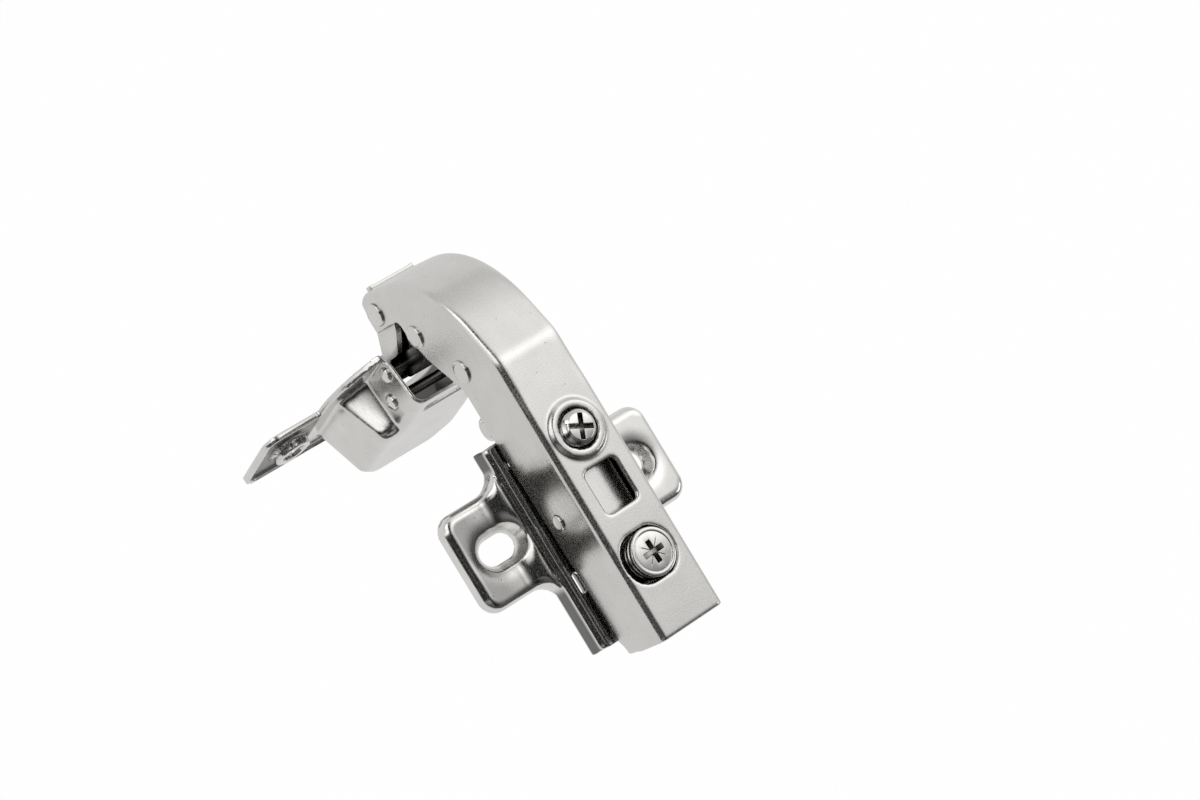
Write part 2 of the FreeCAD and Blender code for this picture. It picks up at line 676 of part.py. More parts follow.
# Rivets across the arm
def rivet(label, x, z, shank_radius, head_radius, rise, reach):
    shank = cylinder(label + "_shank", shank_radius, "(" + reach + ") * 2 + " + rise,
                     along_y(0, 0, 0))
    shank.setExpression("Placement.Base.y", "-(" + reach + ") - (" + rise + ") / 2")
    heads = []
    for side in (1, -1):
        head = cylinder(label + "_head_%d" % (side + 1), head_radius, rise, along_y(0, 0, 0))
        if side > 0:
            head.setExpression("Placement.Base.y", reach)
        else:
            head.setExpression("Placement.Base.y", "-(" + reach + ") - (" + rise + ")")
        heads.append(head)
    doc.recompute()
    caps = []
    for side, head in zip((1, -1), heads):
        head.setExpression("Placement.Base.x", x)
        head.setExpression("Placement.Base.z", z)
        doc.recompute()
        cap = doc.addObject("Part::Fillet", label + "_cap_%d" % (side + 1))
        cap.Base = head
        far = max(abs(edge.BoundBox.Center.y) for edge in head.Shape.Edges)
        radius = head.Height.Value * 0.8
        chosen = []
        for number, edge in enumerate(head.Shape.Edges, start=1):
            flat_ring = edge.BoundBox.YLength < 0.01
            if flat_ring and abs(abs(edge.BoundBox.Center.y) - far) < 0.01:
                chosen.append((number, radius, radius))
        cap.Edges = chosen
        caps.append(cap)
    shank.setExpression("Placement.Base.x", x)
    shank.setExpression("Placement.Base.z", z)
    return fuse(label, [shank] + caps)


rivet("tip_rivet", "sizes.tip_x", "sizes.tip_z", "sizes.rivet_radius", "sizes.rivet_head",
      "sizes.rivet_rise", "sizes.arm_half")
rivet("link_rivet", "sizes.link_x", "sizes.link_z", "sizes.rivet_radius", "sizes.rivet_head",
      "sizes.rivet_rise", "sizes.arm_half")
rivet("stop_rivet", "sizes.stop_x", "sizes.stop_z", "sizes.rivet_radius", "sizes.rivet_head",
      "sizes.rivet_rise", "sizes.arm_half")
rivet("tilt_rivet", "sizes.tilt_x", "sizes.tilt_z", "sizes.tilt_radius", "sizes.tilt_head",
      "sizes.rivet_rise * 0.75", "sizes.arm_half + sizes.pivot_gap")

# Cover screw, threaded in the ring, its foot held in the clip base
head = cylinder("cover_screw_head", "sizes.screw_radius",
                "sizes.arm_top + sizes.screw_rise - sizes.base_top - sizes.seat_gap",
                upright(0, 0, 0))
head.setExpression("Placement.Base.z", "sizes.base_top + sizes.seat_gap")
shank = cylinder("cover_screw_neck", "sizes.neck_radius",
                 "sizes.base_sheet + sizes.seat_gap * 2", upright(0, 0, 0))
shank.setExpression("Placement.Base.z", "sizes.base_top - sizes.base_sheet - sizes.seat_gap")
sole = cylinder("cover_screw_foot", "sizes.foot_radius", "sizes.foot_height", upright(0, 0, 0))
sole.setExpression("Placement.Base.z",
                   "sizes.base_top - sizes.base_sheet - sizes.seat_gap - sizes.foot_height")
for piece in (head, shank, sole):
    piece.setExpression("Placement.Base.x", "sizes.collar_x")
screw_solid = fuse("overlay_screw_blank", [head, shank, sole], keep=False)
overlay = doc.addObject("Part::Cut", "overlay_screw")
overlay.Base = screw_solid
overlay.Tool = cross_recess("overlay_recess", "sizes.collar_x",
                            "sizes.arm_top + sizes.screw_rise")
overlay.Label = "overlay_screw"
pieces.append(overlay)

# Depth cam
cam_parts = []
column = cylinder("cam_column", "sizes.neck_radius + 0.7",
                  "sizes.arm_top - sizes.arm_sheet - 2 - sizes.base_top - sizes.seat_gap",
                  upright(0, 0, 0))
column.setExpression("Placement.Base.z", "sizes.base_top + sizes.seat_gap")
disc = cylinder("cam_disc", "sizes.cam_radius", "sizes.arm_sheet + 2 + sizes.cam_rise",
                upright(0, 0, 0))
disc.setExpression("Placement.Base.z", "sizes.arm_top - sizes.arm_sheet - 2")
pivot = cylinder("cam_pivot", "sizes.neck_radius", "sizes.base_sheet + sizes.seat_gap * 2",
                 upright(0, 0, 0))
pivot.setExpression("Placement.Base.z", "sizes.base_top - sizes.base_sheet - sizes.seat_gap")
sole = cylinder("cam_foot", "sizes.neck_radius + 0.6", "sizes.foot_height", upright(0, 0, 0))
sole.setExpression("Placement.Base.z",
                   "sizes.base_top - sizes.base_sheet - sizes.seat_gap - sizes.foot_height")
for piece in (column, pivot, sole):
    piece.setExpression("Placement.Base.y", "-sizes.cam_throw")
for piece in (column, disc, pivot, sole):
    piece.setExpression("Placement.Base.x", "sizes.cam_x")
    cam_parts.append(piece)
cam_blank = fuse("depth_cam_blank", cam_parts, keep=False)
cam = doc.addObject("Part::Cut", "depth_cam_screw")
cam.Base = cam_blank
cam.Tool = cross_recess("cam_recess", "sizes.cam_x", "sizes.arm_top + sizes.cam_rise")
cam.Label = "depth_cam_screw"
pieces.append(cam)

# Cup and flange, drawn flat and then turned: x across, y along the cup, z into the door
tilt = math.radians(size("cup_tilt"))
across = Vector(0, 1, 0)
along = Vector(-math.sin(tilt), 0, math.cos(tilt))
inward = Vector(math.cos(tilt), 0, math.sin(tilt))
cup_place = Placement(Vector(size("cup_x"), 0, size("cup_z")),
                      Rotation(across, along, inward, "XYZ"))
cup_sheet = size("cup_sheet")
cup_depth = size("cup_depth")
nose_half = size("nose_half")
nose_end = size("nose_end")
lobe_centre = size("lobe_centre")
lobe_radius = size("lobe_radius")
flange_half = size("flange_half")
flange_wing = size("flange_wing")
flange_corner = size("flange_corner")
cup = new_body("hinge_cup")
cup.Placement = cup_place


def on_lobe(height):
    return math.sqrt(lobe_radius ** 2 - (height - lobe_centre) ** 2)


lobe_start = on_lobe(flange_wing)
lobe_end = math.sqrt(lobe_radius ** 2 - nose_half ** 2) + lobe_centre - 0.02
lobe_stop = on_lobe(lobe_end)


def flange_outline(shrink):
    """Wings and round lobe, with square ends at the nose."""
    wing = flange_wing - shrink
    half = flange_half - shrink
    radius = lobe_radius - shrink
    reach = flange_corner - shrink
    start = math.sqrt(radius ** 2 - (wing - lobe_centre) ** 2)
    end = lobe_end
    stop = math.sqrt(max(radius ** 2 - (end - lobe_centre) ** 2, 0.01))
    if shrink > 0:
        end = lobe_centre + math.sqrt(radius ** 2 - nose_half ** 2)
        stop = nose_half
    turn = math.radians(40)
    middle = (radius * math.cos(turn), lobe_centre + radius * math.sin(turn))
    bend = reach * (1 - math.sqrt(0.5))
    curves = []
    for side in (1, -1):
        curves.append(Part.Arc(Vector(side * stop, end, 0),
                               Vector(side * middle[0], middle[1], 0),
                               Vector(side * start, wing, 0)))
        curves.append(Part.LineSegment(Vector(side * start, wing, 0),
                                       Vector(side * (half - reach), wing, 0)))
        curves.append(Part.Arc(Vector(side * (half - reach), wing, 0),
                               Vector(side * (half - bend), wing - bend, 0),
                               Vector(side * half, wing - reach, 0)))
        curves.append(Part.LineSegment(Vector(side * half, wing - reach, 0),
                                       Vector(side * half, reach - wing, 0)))
        curves.append(Part.Arc(Vector(side * half, reach - wing, 0),
                               Vector(side * (half - bend), bend - wing, 0),
                               Vector(side * (half - reach), -wing, 0)))
    curves.append(Part.LineSegment(Vector(reach - half, -wing, 0), Vector(half - reach, -wing, 0)))
    curves.append(Part.LineSegment(Vector(-stop, end, 0), Vector(stop, end, 0)))
    return curves


flange = sketch(cup, "flange", "XY_Plane", [flange_outline(0)])
pad(cup, flange, "sizes.cup_sheet")
rim_ring = sketch(cup, "rim", "XY_Plane", [flange_outline(0), flange_outline(0.9)])
pad(cup, rim_ring, "sizes.flange_skirt")
mouth_half = size("mouth_half")
floor_half = size("floor_half")


def mouth_outline(shrink, end):
    half = mouth_half - shrink
    nose = nose_half - shrink
    return rounded([
        (-9.5 + shrink * 0.5, -9.5 + shrink, 2.0),
        (9.5 - shrink * 0.5, -9.5 + shrink, 2.0),
        (half, -4.3 + shrink * 0.4, 3.0),
        (half, 9.8 - shrink * 0.3, 2.4),
        (nose, 15.2 - shrink * 0.4, 1.6),
        (nose, end, 0.3),
        (-nose, end, 0.3),
        (-nose, 15.2 - shrink * 0.4, 1.6),
        (-half, 9.8 - shrink * 0.3, 2.4),
        (-half, -4.3 + shrink * 0.4, 3.0),
    ])


def floor_outline(shrink, end):
    half = floor_half - shrink
    nose = nose_half - shrink
    return rounded([
        (-7.6 + shrink * 0.5, -8.5 + shrink, 2.0),
        (7.6 - shrink * 0.5, -8.5 + shrink, 2.0),
        (half, -3.4 + shrink * 0.4, 3.0),
        (half, 12.6 - shrink * 0.6, 1.8),
        (nose, 13.7 - shrink * 0.6, 1.0),
        (nose, end, 0.3),
        (-nose, end, 0.3),
        (-nose, 13.7 - shrink * 0.6, 1.0),
        (-half, 12.6 - shrink * 0.6, 1.8),
        (-half, -3.4 + shrink * 0.4, 3.0),
    ])


mouth = sketch(cup, "mouth", "XY_Plane", [mouth_outline(0, nose_end)])
floor_round = size("floor_round")
bend_steps = 3
wall_sections = []
for step in range(bend_steps + 1):
    turn = math.pi / 2 * step / bend_steps
    wall_sections.append(sketch(
        cup, "wall_%d" % step, "XY_Plane",
        [floor_outline(floor_round * (1 - math.cos(turn)), nose_end)],
        "sizes.cup_depth - sizes.floor_round * %.6f" % (1 - math.sin(turn))))
bowl = cup.newObject("PartDesign::AdditiveLoft", "cup_bowl")
bowl.Profile = mouth
bowl.Sections = wall_sections
bowl.Ruled = True
mouth_inside = sketch(cup, "mouth_inside", "XY_Plane", [mouth_outline(cup_sheet, nose_end + 2)])
inside_round = floor_round - cup_sheet
inside_sections = []
for step in range(bend_steps):
    turn = math.pi / 2 * step / (bend_steps - 1)
    inside_sections.append(sketch(
        cup, "inside_%d" % step, "XY_Plane",
        [floor_outline(cup_sheet + inside_round * (1 - math.cos(turn)), nose_end + 2)],
        "sizes.cup_depth - sizes.cup_sheet - (sizes.floor_round - sizes.cup_sheet) * %.6f"
        % (1 - math.sin(turn))))
inside = cup.newObject("PartDesign::SubtractiveLoft", "cup_inside")
inside.Profile = mouth_inside
inside.Sections = inside_sections
inside.Ruled = True
wedge = sketch(cup, "nose_slope", "YZ_Plane", [rounded([
    (8.0, -1.0),
    (8.0, 0.0),
    (nose_end, 3.0),
    (lobe_end + 2, 3.2),
    (lobe_end + 2, -1.0),
])])
pocket(cup, wedge, "sizes.nose_half * 2 + 0.2", symmetric=True)
hole_y = size("cup_holes") / 2
dimple = size("cup_dimple")
dimples = sketch(cup, "dimples", "XY_Plane",
                 [circle(hole_y, 0, dimple), circle(-hole_y, 0, dimple)])
pad(cup, dimples, "sizes.cup_sheet * 2.8")
for side in (1, -1):
    wide = sketch(cup, "sink_top_%d" % (side + 1), "XY_Plane",
                  [circle(side * hole_y, 0, dimple - 0.2)])
    narrow = sketch(cup, "sink_low_%d" % (side + 1), "XY_Plane",
                    [circle(side * hole_y, 0, size("cup_hole_radius"))],
                    "sizes.cup_sheet * 2")
    sink = cup.newObject("PartDesign::SubtractiveLoft", "cup_sink_%d" % (side + 1))
    sink.Profile = wide
    sink.Sections = [narrow]
    sink.Ruled = True
cup_holes = sketch(cup, "screw_holes", "XY_Plane", [
    circle(hole_y, 0, size("cup_hole_radius")),
    circle(-hole_y, 0, size("cup_hole_radius")),
])
pocket(cup, cup_holes, "sizes.cup_sheet * 4", reverse=True)
floor_slot = sketch(cup, "floor_slot", "XY_Plane",
                    [block_outline(-5.1, 5.1, 19.4, 21.8, 0.3)], "sizes.cup_depth + 1")
pocket(cup, floor_slot, "sizes.cup_sheet + 1.5")
wire_holes = sketch(cup, "wire_holes", "YZ_Plane", [
    circle(size("leg_one_u"), size("leg_one_depth"), size("wire_radius")),
    circle(size("leg_two_u"), size("leg_two_depth"), size("wire_radius")),
])
pocket(cup, wire_holes, "sizes.nose_half * 2 + 1", symmetric=True)


def in_cup(y, u, depth):
    return cup_place.multVec(Vector(y, u, depth))


def turned(start, middle_corner, finish, radius):
    """Arc that rounds a corner of a wire's route, with its two ends."""
    back = (start - middle_corner).normalize()
    ahead = (finish - middle_corner).normalize()
    half = back.getAngle(ahead) / 2
    run = radius / math.tan(half)
    towards = (back + ahead).normalize()
    middle = middle_corner + towards * (radius / math.sin(half) - radius)
    first = middle_corner + back * run
    second = middle_corner + ahead * run
    return first, Part.Arc(first, middle, second).toShape(), second


def wire_rod(points, bends, radius):
    """Round wire along straight runs joined by tangent arcs."""
    edges = []
    position = points[0]
    for index in range(1, len(points) - 1):
        first, arc, second = turned(points[index - 1], points[index], points[index + 1],
                                    bends[index - 1])
        if position.distanceToPoint(first) > 1e-4:
            edges.append(Part.LineSegment(position, first).toShape())
        edges.append(arc)
        position = second
    edges.append(Part.LineSegment(position, points[-1]).toShape())
    route = Part.Wire(edges)
    heading = (points[1] - points[0]).normalize()
    ring = Part.Wire([Part.Circle(points[0], heading, radius).toShape()])
    return route.makePipeShell([ring], True, False)


def feature(label, shape):
    item = doc.addObject("Part::Feature", label)
    item.Shape = shape
    item.Placement = Placement(Vector(0, 0, 0), Rotation())
    item.Label = label
    pieces.append(item)
    return item


# Pivot wire of the cup, bent to a U
reach = size("wire_reach")
wire_end = size("wire_end")
leg_one = (size("leg_one_u"), size("leg_one_depth"))
leg_two = (size("leg_two_u"), size("leg_two_depth"))
feature("cup_u_pin", wire_rod([
    in_cup(-wire_end, leg_one[0], leg_one[1]),
    in_cup(reach, leg_one[0], leg_one[1]),
    in_cup(reach, leg_two[0], leg_two[1]),
    in_cup(-wire_end, leg_two[0], leg_two[1]),
], [size("wire_bend")] * 2, size("wire_radius")))

# Inner link, a pack of stamped plates with tails that press on the spring
eye_one = in_cup(0, leg_one[0], leg_one[1])
eye_two = in_cup(0, leg_two[0], leg_two[1])
link_pivot = Vector(size("link_x"), 0, size("link_z"))
span = eye_one - link_pivot
link_length = span.Length
down = span.normalize()
side_way = Vector(-down.z, 0, down.x)
tail_angle = math.radians(-20)
tail = Vector(math.cos(tail_angle), 0, math.sin(tail_angle))
tail_side = Vector(-tail.z, 0, tail.x)
tail_reach = size("tail_reach")


def in_link(a, b):
    point = link_pivot + down * a + side_way * b
    return (point.x, point.z)


def in_tail(a, b):
    point = link_pivot + tail * a + tail_side * b
    return (point.x, point.z)


plate_outline = rounded([
    in_link(-3.3, -3.3) + (3.2,),
    in_link(link_length + 2.55, -2.6) + (2.5,),
    in_link(link_length + 2.55, 2.6) + (2.5,),
    in_link(4.2, 2.6) + (1.5,),
    in_tail(tail_reach, -0.95) + (0.9,),
    in_tail(tail_reach, 0.95) + (0.9,),
    in_tail(3.6, 0.95) + (1.5,),
    in_link(-3.3, 2.4) + (2.4,),
])
bore = size("pivot_gap")
inner = new_body("inner_link_plates")
count = int(size("inner_link_count"))
width = (2 * size("inner_link_half") - (count - 1) * size("plate_gap")) / count
link_plate = sketch(inner, "plate", "XZ_Plane", [
    plate_outline,
    circle(size("link_x"), size("link_z"), size("rivet_radius") + bore),
    circle(eye_one.x, eye_one.z, size("wire_radius") + bore),
])
pad(inner, link_plate, "sizes.inner_link_half * 2", symmetric=True)
gaps = []
for index in range(1, count):
    edge = -size("inner_link_half") + index * (width + size("plate_gap"))
    gaps.append(block_outline(-60, -20, edge - size("plate_gap"), edge))
blank = inner
doc.recompute()
plates = []
for index in range(count):
    low = -size("inner_link_half") + index * (width + size("plate_gap"))
    cutter = Part.makeBox(80, width, 80, Vector(-80, low, -60))
    plates.append(inner.Shape.common(cutter).Solids[0])
pieces.remove(inner)
inner.Label = "inner_link_blank"
feature("inner_link_plates", Part.makeCompound(plates))

# Rollers beside the inner link
rollers = []
for side, name in ((1, "left"), (-1, "right")):
    ring = cylinder("roller_ring_" + name, "sizes.roller_radius",
                    "sizes.roller_end - sizes.inner_link_half - sizes.pivot_gap",
                    along_y(0, 0, 0))
    eye = cylinder("roller_eye_" + name, "sizes.rivet_radius + sizes.pivot_gap",
                   "sizes.roller_end", along_y(0, 0, 0))
    if side > 0:
        ring.setExpression("Placement.Base.y", "sizes.inner_link_half + sizes.pivot_gap")
        eye.setExpression("Placement.Base.y", "sizes.inner_link_half - 1")
    else:
        ring.setExpression("Placement.Base.y", "-sizes.roller_end")
        eye.setExpression("Placement.Base.y", "-sizes.roller_end - 1")
    for piece in (ring, eye):
        piece.setExpression("Placement.Base.x", "sizes.link_x")
        piece.setExpression("Placement.Base.z", "sizes.link_z")
    roller = doc.addObject("Part::Cut", "roller_" + name)
    roller.Base = ring
    roller.Tool = eye
    rollers.append(roller)
fuse("link_rollers", rollers)

# Outer link, a stamped channel whose cheeks bow round the wire's other leg
tip_pivot = Vector(size("tip_x"), 0, size("tip_z"))
outer_span = tip_pivot - eye_two
outer_length = outer_span.Length
up_link = outer_span.normalize()
bow = Vector(-up_link.z, 0, up_link.x)


def in_outer(a, b):
    point = eye_two + up_link * a + bow * b
    return (point.x, point.z)


web_out = 3.6
web_in = web_out - size("outer_link_sheet") + 0.2
outer = new_body("outer_link")
outer_cheeks = sketch(outer, "cheeks", "XZ_Plane", [rounded([
    in_outer(1.35, 1.3) + (0.3,),
    in_outer(7.4, 1.3) + (1.0,),
    in_outer(9.4, -1.6) + (2.0,),
    in_outer(15.0, -2.9) + (3.0,),
    in_outer(outer_length + 2.9, -2.9) + (2.8,),
    in_outer(outer_length + 2.9, 2.9) + (2.8,),
    in_outer(14.5, web_out) + (4.0,),
    in_outer(1.35, web_out) + (0.8,),
])])
pad(outer, outer_cheeks, "sizes.outer_link_half * 2", symmetric=True)
outer_inside = sketch(outer, "inside", "XZ_Plane", [rounded([
    in_outer(-3, web_in),
    in_outer(13.5, web_in),
    in_outer(13.5, web_out + 3),
    in_outer(outer_length + 6, web_out + 3),
    in_outer(outer_length + 6, -8),
    in_outer(-3, -8),
])])
pocket(outer, outer_inside, "(sizes.outer_link_half - sizes.outer_link_sheet) * 2",
       symmetric=True)
outer_eye = sketch(outer, "eye", "XZ_Plane",
                   [circle(size("tip_x"), size("tip_z"), size("rivet_radius") + bore)])
pocket(outer, outer_eye, "sizes.outer_link_half * 2 + 2", symmetric=True)

# Spring that the inner link's tails wind up
coil_x = size("coil_x")
coil_z = size("coil_z")
coil_radius = size("coil_radius")
spring_wire = size("spring_wire")
coil_half = size("coil_half")
turns = []
for index in range(5):
    place = Vector(coil_x, -coil_half + index * coil_half / 2, coil_z)
    turns.append(Part.makeTorus(coil_radius, spring_wire, place, Vector(0, 1, 0)))
leg_low = coil_z - coil_radius
leg_trough = 3.2
for side in (1, -1):
    y = side * coil_half
    turns.append(wire_rod([
        Vector(coil_x, y, leg_low),
        Vector(coil_x + 1.9, y, leg_low),
        Vector(coil_x + 4.8, y, leg_low + 1.9),
        Vector(coil_x + 6.9, y, leg_trough),
        Vector(spine_front - 0.8, y, leg_trough),
    ], [1.2, 2.0, 2.0], spring_wire))
bar = Vector(coil_x + 4.2, -coil_half, leg_low + 1.5)
turns.append(Part.makeCylinder(spring_wire, 2 * coil_half, bar, Vector(0, 1, 0)))
spring = turns[0].multiFuse(turns[1:])
feature("link_spring", spring)

# Damper in the plate's trough
damper_z = size("damper_z")
damper_front = size("damper_front")
damper_rear = size("damper_rear")
damper = new_body("damper_cylinder")
damper_profile = sketch(damper, "half", "XZ_Plane", [rounded([
    (damper_front, damper_z + size("rod_radius") + bore),
    (damper_front, damper_z + size("damper_radius"), 0.8),
    (damper_rear, damper_z + size("damper_radius"), 1.2),
    (damper_rear, damper_z),
    (damper_rear - 12, damper_z),
    (damper_rear - 12, damper_z + size("rod_radius") + bore),
])])
spin = damper.newObject("PartDesign::Revolution", "damper_turning")
spin.Profile = damper_profile
axis_line = damper_profile.addGeometry(Part.LineSegment(
    Vector(damper_front, damper_z, 0), Vector(damper_rear, damper_z, 0)), True)
spin.ReferenceAxis = (damper_profile, ["Axis0"])
spin.Angle = 360

plunger = new_body("damper_plunger")
rod_head = size("rod_head")
head_front = size("rod_head_front")
head_rear = head_front + size("rod_head_length")
rod_end = damper_rear - 16
head_sketch = sketch(plunger, "head", "YZ_Plane", [circle(0, damper_z, rod_head)],
                     "sizes.rod_head_front")
pad(plunger, head_sketch, "sizes.rod_head_length")
flute = sketch(plunger, "flute", "YZ_Plane", [circle(0, damper_z + rod_head + 0.15, 0.45)],
               "sizes.rod_head_front")
flute_cut = pocket(plunger, flute, "sizes.rod_head_length", reverse=True)
axis_sketch = sketch(plunger, "axis", "YZ_Plane", [circle(0, damper_z, 0.5)])
pattern = plunger.newObject("PartDesign::PolarPattern", "flutes")
pattern.Originals = [flute_cut]
pattern.Axis = (axis_sketch, ["N_Axis"])
pattern.Angle = 360
pattern.Occurrences = 12
plunger.Tip = pattern
rod_sketch = sketch(plunger, "rod", "YZ_Plane", [circle(0, damper_z, size("rod_radius"))],
                    "sizes.rod_head_front + sizes.rod_head_length / 2")
pad(plunger, rod_sketch, "sizes.damper_rear - 16 - sizes.rod_head_front"
    " - sizes.rod_head_length / 2")

# Plastic liner inside the arm's knuckle
liner = new_body("arm_liner")
gap = size("liner_gap")
liner_half = arm_half - arm_sheet - gap
liner_front = size("liner_front")
liner_rear = size("liner_rear")
liner_out = arm_sheet + 0.2


def liner_outline(extra, low_extra):
    inward_by = liner_out + extra
    shoulder = knuckle(inward_by)
    return rounded([
        (liner_rear + low_extra, arm_top - inward_by),
        (roof_bend(inward_by), arm_top - inward_by, size("arm_bend_radius") - inward_by),
        (shoulder.x, shoulder.y, size("arm_corner_radius") - inward_by),
        (shoulder.x - math.tan(lean) * (shoulder.y - size("link_z")),
         size("link_z") + 4.0 - low_extra),
        (size("link_x") + 3.2, size("link_z") + 4.0 - low_extra),
        (size("stop_x") + 2.8, size("arm_skirt") + 0.4 - low_extra),
        (liner_rear + low_extra, size("arm_skirt") + 0.4 - low_extra),
    ])


liner_side = sketch(liner, "side", "XZ_Plane", [liner_outline(0, 0)])
pad(liner, liner_side, "(sizes.arm_half - sizes.arm_sheet - sizes.liner_gap) * 2",
    symmetric=True)
liner_inside = sketch(liner, "inside", "XZ_Plane", [liner_outline(size("liner_sheet"), 9)])
pocket(liner, liner_inside,
       "(sizes.arm_half - sizes.arm_sheet - sizes.liner_gap - sizes.liner_sheet) * 2",
       symmetric=True)
liner_trim = sketch(liner, "front_cut", "XZ_Plane", [block_outline(
    size("arm_front") - 5, liner_front, size("arm_tip"), arm_top + 2)])
pocket(liner, liner_trim, "sizes.arm_half * 2 + 2", symmetric=True)
liner_hole = sketch(liner, "rivet_hole", "XZ_Plane",
                    [circle(size("stop_x"), size("stop_z"), size("rivet_radius") + bore)])
pocket(liner, liner_hole, "sizes.arm_half * 2 + 2", symmetric=True)

# Rear guide, a plastic block under the arm's roof
guide = new_body("rear_guide_block")
block_top = arm_top - arm_sheet - gap
guide_profile = sketch(guide, "side", "XZ_Plane", [rounded([
    (size("block_front"), size("block_low")),
    (arm_rear - 1.6, size("block_low"), 0.5),
    (arm_rear - 1.6, block_top, 0.4),
    (size("block_front"), block_top),
])])
pad(guide, guide_profile, "(sizes.arm_half - sizes.arm_sheet - sizes.liner_gap) * 2",
    symmetric=True)
guide_notch = sketch(guide, "notch", "XZ_Plane", [rounded([
    (size("block_front") - 1, size("block_low") - 1),
    (arm_rear - 3.2, size("block_low") - 1),
    (arm_rear - 3.2, block_top - 1.0, 0.5),
    (size("block_front") - 1, block_top - 1.0),
])])
pocket(guide, guide_notch, "(sizes.arm_half - sizes.arm_sheet - 1.6) * 2", symmetric=True)

# Release lever with a ribbed plate, two cheeks and a hook
lever_x = size("lever_x")
lever_z = size("lever_z")
face = size("lever_plate")
lever_sheet = size("lever_sheet")
lever_low = size("lever_low")
lever_high = size("lever_high")
ribs = int(size("lever_ribs"))
lever = new_body("release_lever")
ridge = []
pitch = (lever_high - lever_low) / ribs
for index in range(ribs):
    low = lever_low + index * pitch
    ridge.append((face + lever_sheet, low))
    ridge.append((face + lever_sheet + size("rib_rise"), low + pitch * 0.3))
    ridge.append((face + lever_sheet + size("rib_rise"), low + pitch * 0.65))
ridge.append((face + lever_sheet, lever_high))
ridge.append((face, lever_high))
ridge.append((face, lever_low))
ribbed = sketch(lever, "ribbed_plate", "XZ_Plane", [rounded(ridge)])
pad(lever, ribbed, "sizes.lever_half * 2", symmetric=True)
cheek_out = size("base_half") - size("base_sheet") - 0.1
cheek_profile = rounded([
    (face + lever_sheet * 0.5, lever_z + 2.4),
    (lever_x - 2.2, lever_z + 2.2, 2.1),
    (lever_x - 2.2, lever_z - 2.2, 2.1),
    (face + lever_sheet * 0.5, lever_z - 2.4),
])
cheeks = sketch(lever, "cheeks", "XZ_Plane", [
    cheek_profile,
    circle(lever_x, lever_z, size("lever_pin_radius") + bore),
])
cheek_pad = pad(lever, cheeks, "(sizes.base_half - sizes.base_sheet - 0.1) * 2", symmetric=True)
between = sketch(lever, "between", "XZ_Plane", [block_outline(
    lever_x - 4, face, lever_z - 3, lever_z + 3)])
pocket(lever, between, "(sizes.base_half - sizes.base_sheet * 2 - 0.1) * 2", symmetric=True)
hook_x = spine_rear - plate_sheet - 2.0
hook = sketch(lever, "hook", "XZ_Plane", [rounded([
    (face + lever_sheet * 0.5, bridge_top + 1.1),
    (face + lever_sheet * 0.5, bridge_top + 2.3),
    (hook_x, bridge_top + 2.3, 1.2),
    (hook_x, bridge_top - 4.1, 0.3),
    (hook_x + 2.6, bridge_top - 4.1, 0.3),
    (hook_x + 2.6, bridge_top - 3.1, 0.3),
    (hook_x + 1.2, bridge_top - 3.1),
    (hook_x + 1.2, bridge_top + 1.1, 0.3),
])])
pad(lever, hook, "sizes.hook_half * 2", symmetric=True)

# Release lever's pin and its spring
pin = cylinder("lever_pin", "sizes.lever_pin_radius", "sizes.base_half * 2", along_y(0, 0, 0))
pin.setExpression("Placement.Base.x", "sizes.lever_x")
pin.setExpression("Placement.Base.y", "-sizes.base_half")
pin.setExpression("Placement.Base.z", "sizes.lever_z")
pin.Label = "lever_pin"
pieces.append(pin)
small_wire = 0.3
small_coil = size("lever_pin_radius") + small_wire + 0.15
small_turns = []
for index in range(4):
    place = Vector(lever_x, -0.75 + 0.5 * index, lever_z)
    small_turns.append(Part.makeTorus(small_coil, small_wire, place, Vector(0, 1, 0)))
small_turns.append(Part.makeCylinder(
    small_wire, face - lever_x - 0.05, Vector(lever_x, 0.75, lever_z + small_coil),
    Vector(1, 0, 0)))
small_turns.append(Part.makeCylinder(
    small_wire, 3.6, Vector(lever_x, -0.75, lever_z + small_coil), Vector(-1, 0, 0)))
feature("lever_spring", small_turns[0].multiFuse(small_turns[1:]))

# Check and write
doc.recompute()
faults = []
for item in doc.Objects:
    for state in item.State:
        if state in ("Invalid", "Error"):
            faults.append("%s is %s" % (item.Label, state))
if faults:
    raise RuntimeError("; ".join(faults))
os.makedirs("parts", exist_ok=True)
for item in pieces:
    shape = item.Shape
    if shape.isNull() or not shape.isValid() or shape.Volume <= 0:
        raise RuntimeError("%s has no sound shape" % item.Label)
    shape.exportStep(os.path.join("parts", item.Label + ".step"))
    print("%-20s solids %d volume %9.2f box %s" % (
        item.Label, len(shape.Solids), shape.Volume,
        " ".join("%.1f" % value for value in (
            shape.BoundBox.XMin, shape.BoundBox.XMax, shape.BoundBox.YMin,
            shape.BoundBox.YMax, shape.BoundBox.ZMin, shape.BoundBox.ZMax))))
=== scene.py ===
# %% [markdown]
# # Cabinet hinge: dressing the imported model
# The hinge comes in from the CAD as a fixed frame, in metres, and nothing in it is moved here.
# This file adds what a maker would call the finish: plating, plastic, the wound springs, threads
# and softened edges, with a camera, a pale floor and soft light.

# %% Load the frame
import json
import math

import bmesh
import bpy
from mathutils import Matrix, Vector
from mathutils.kdtree import KDTree


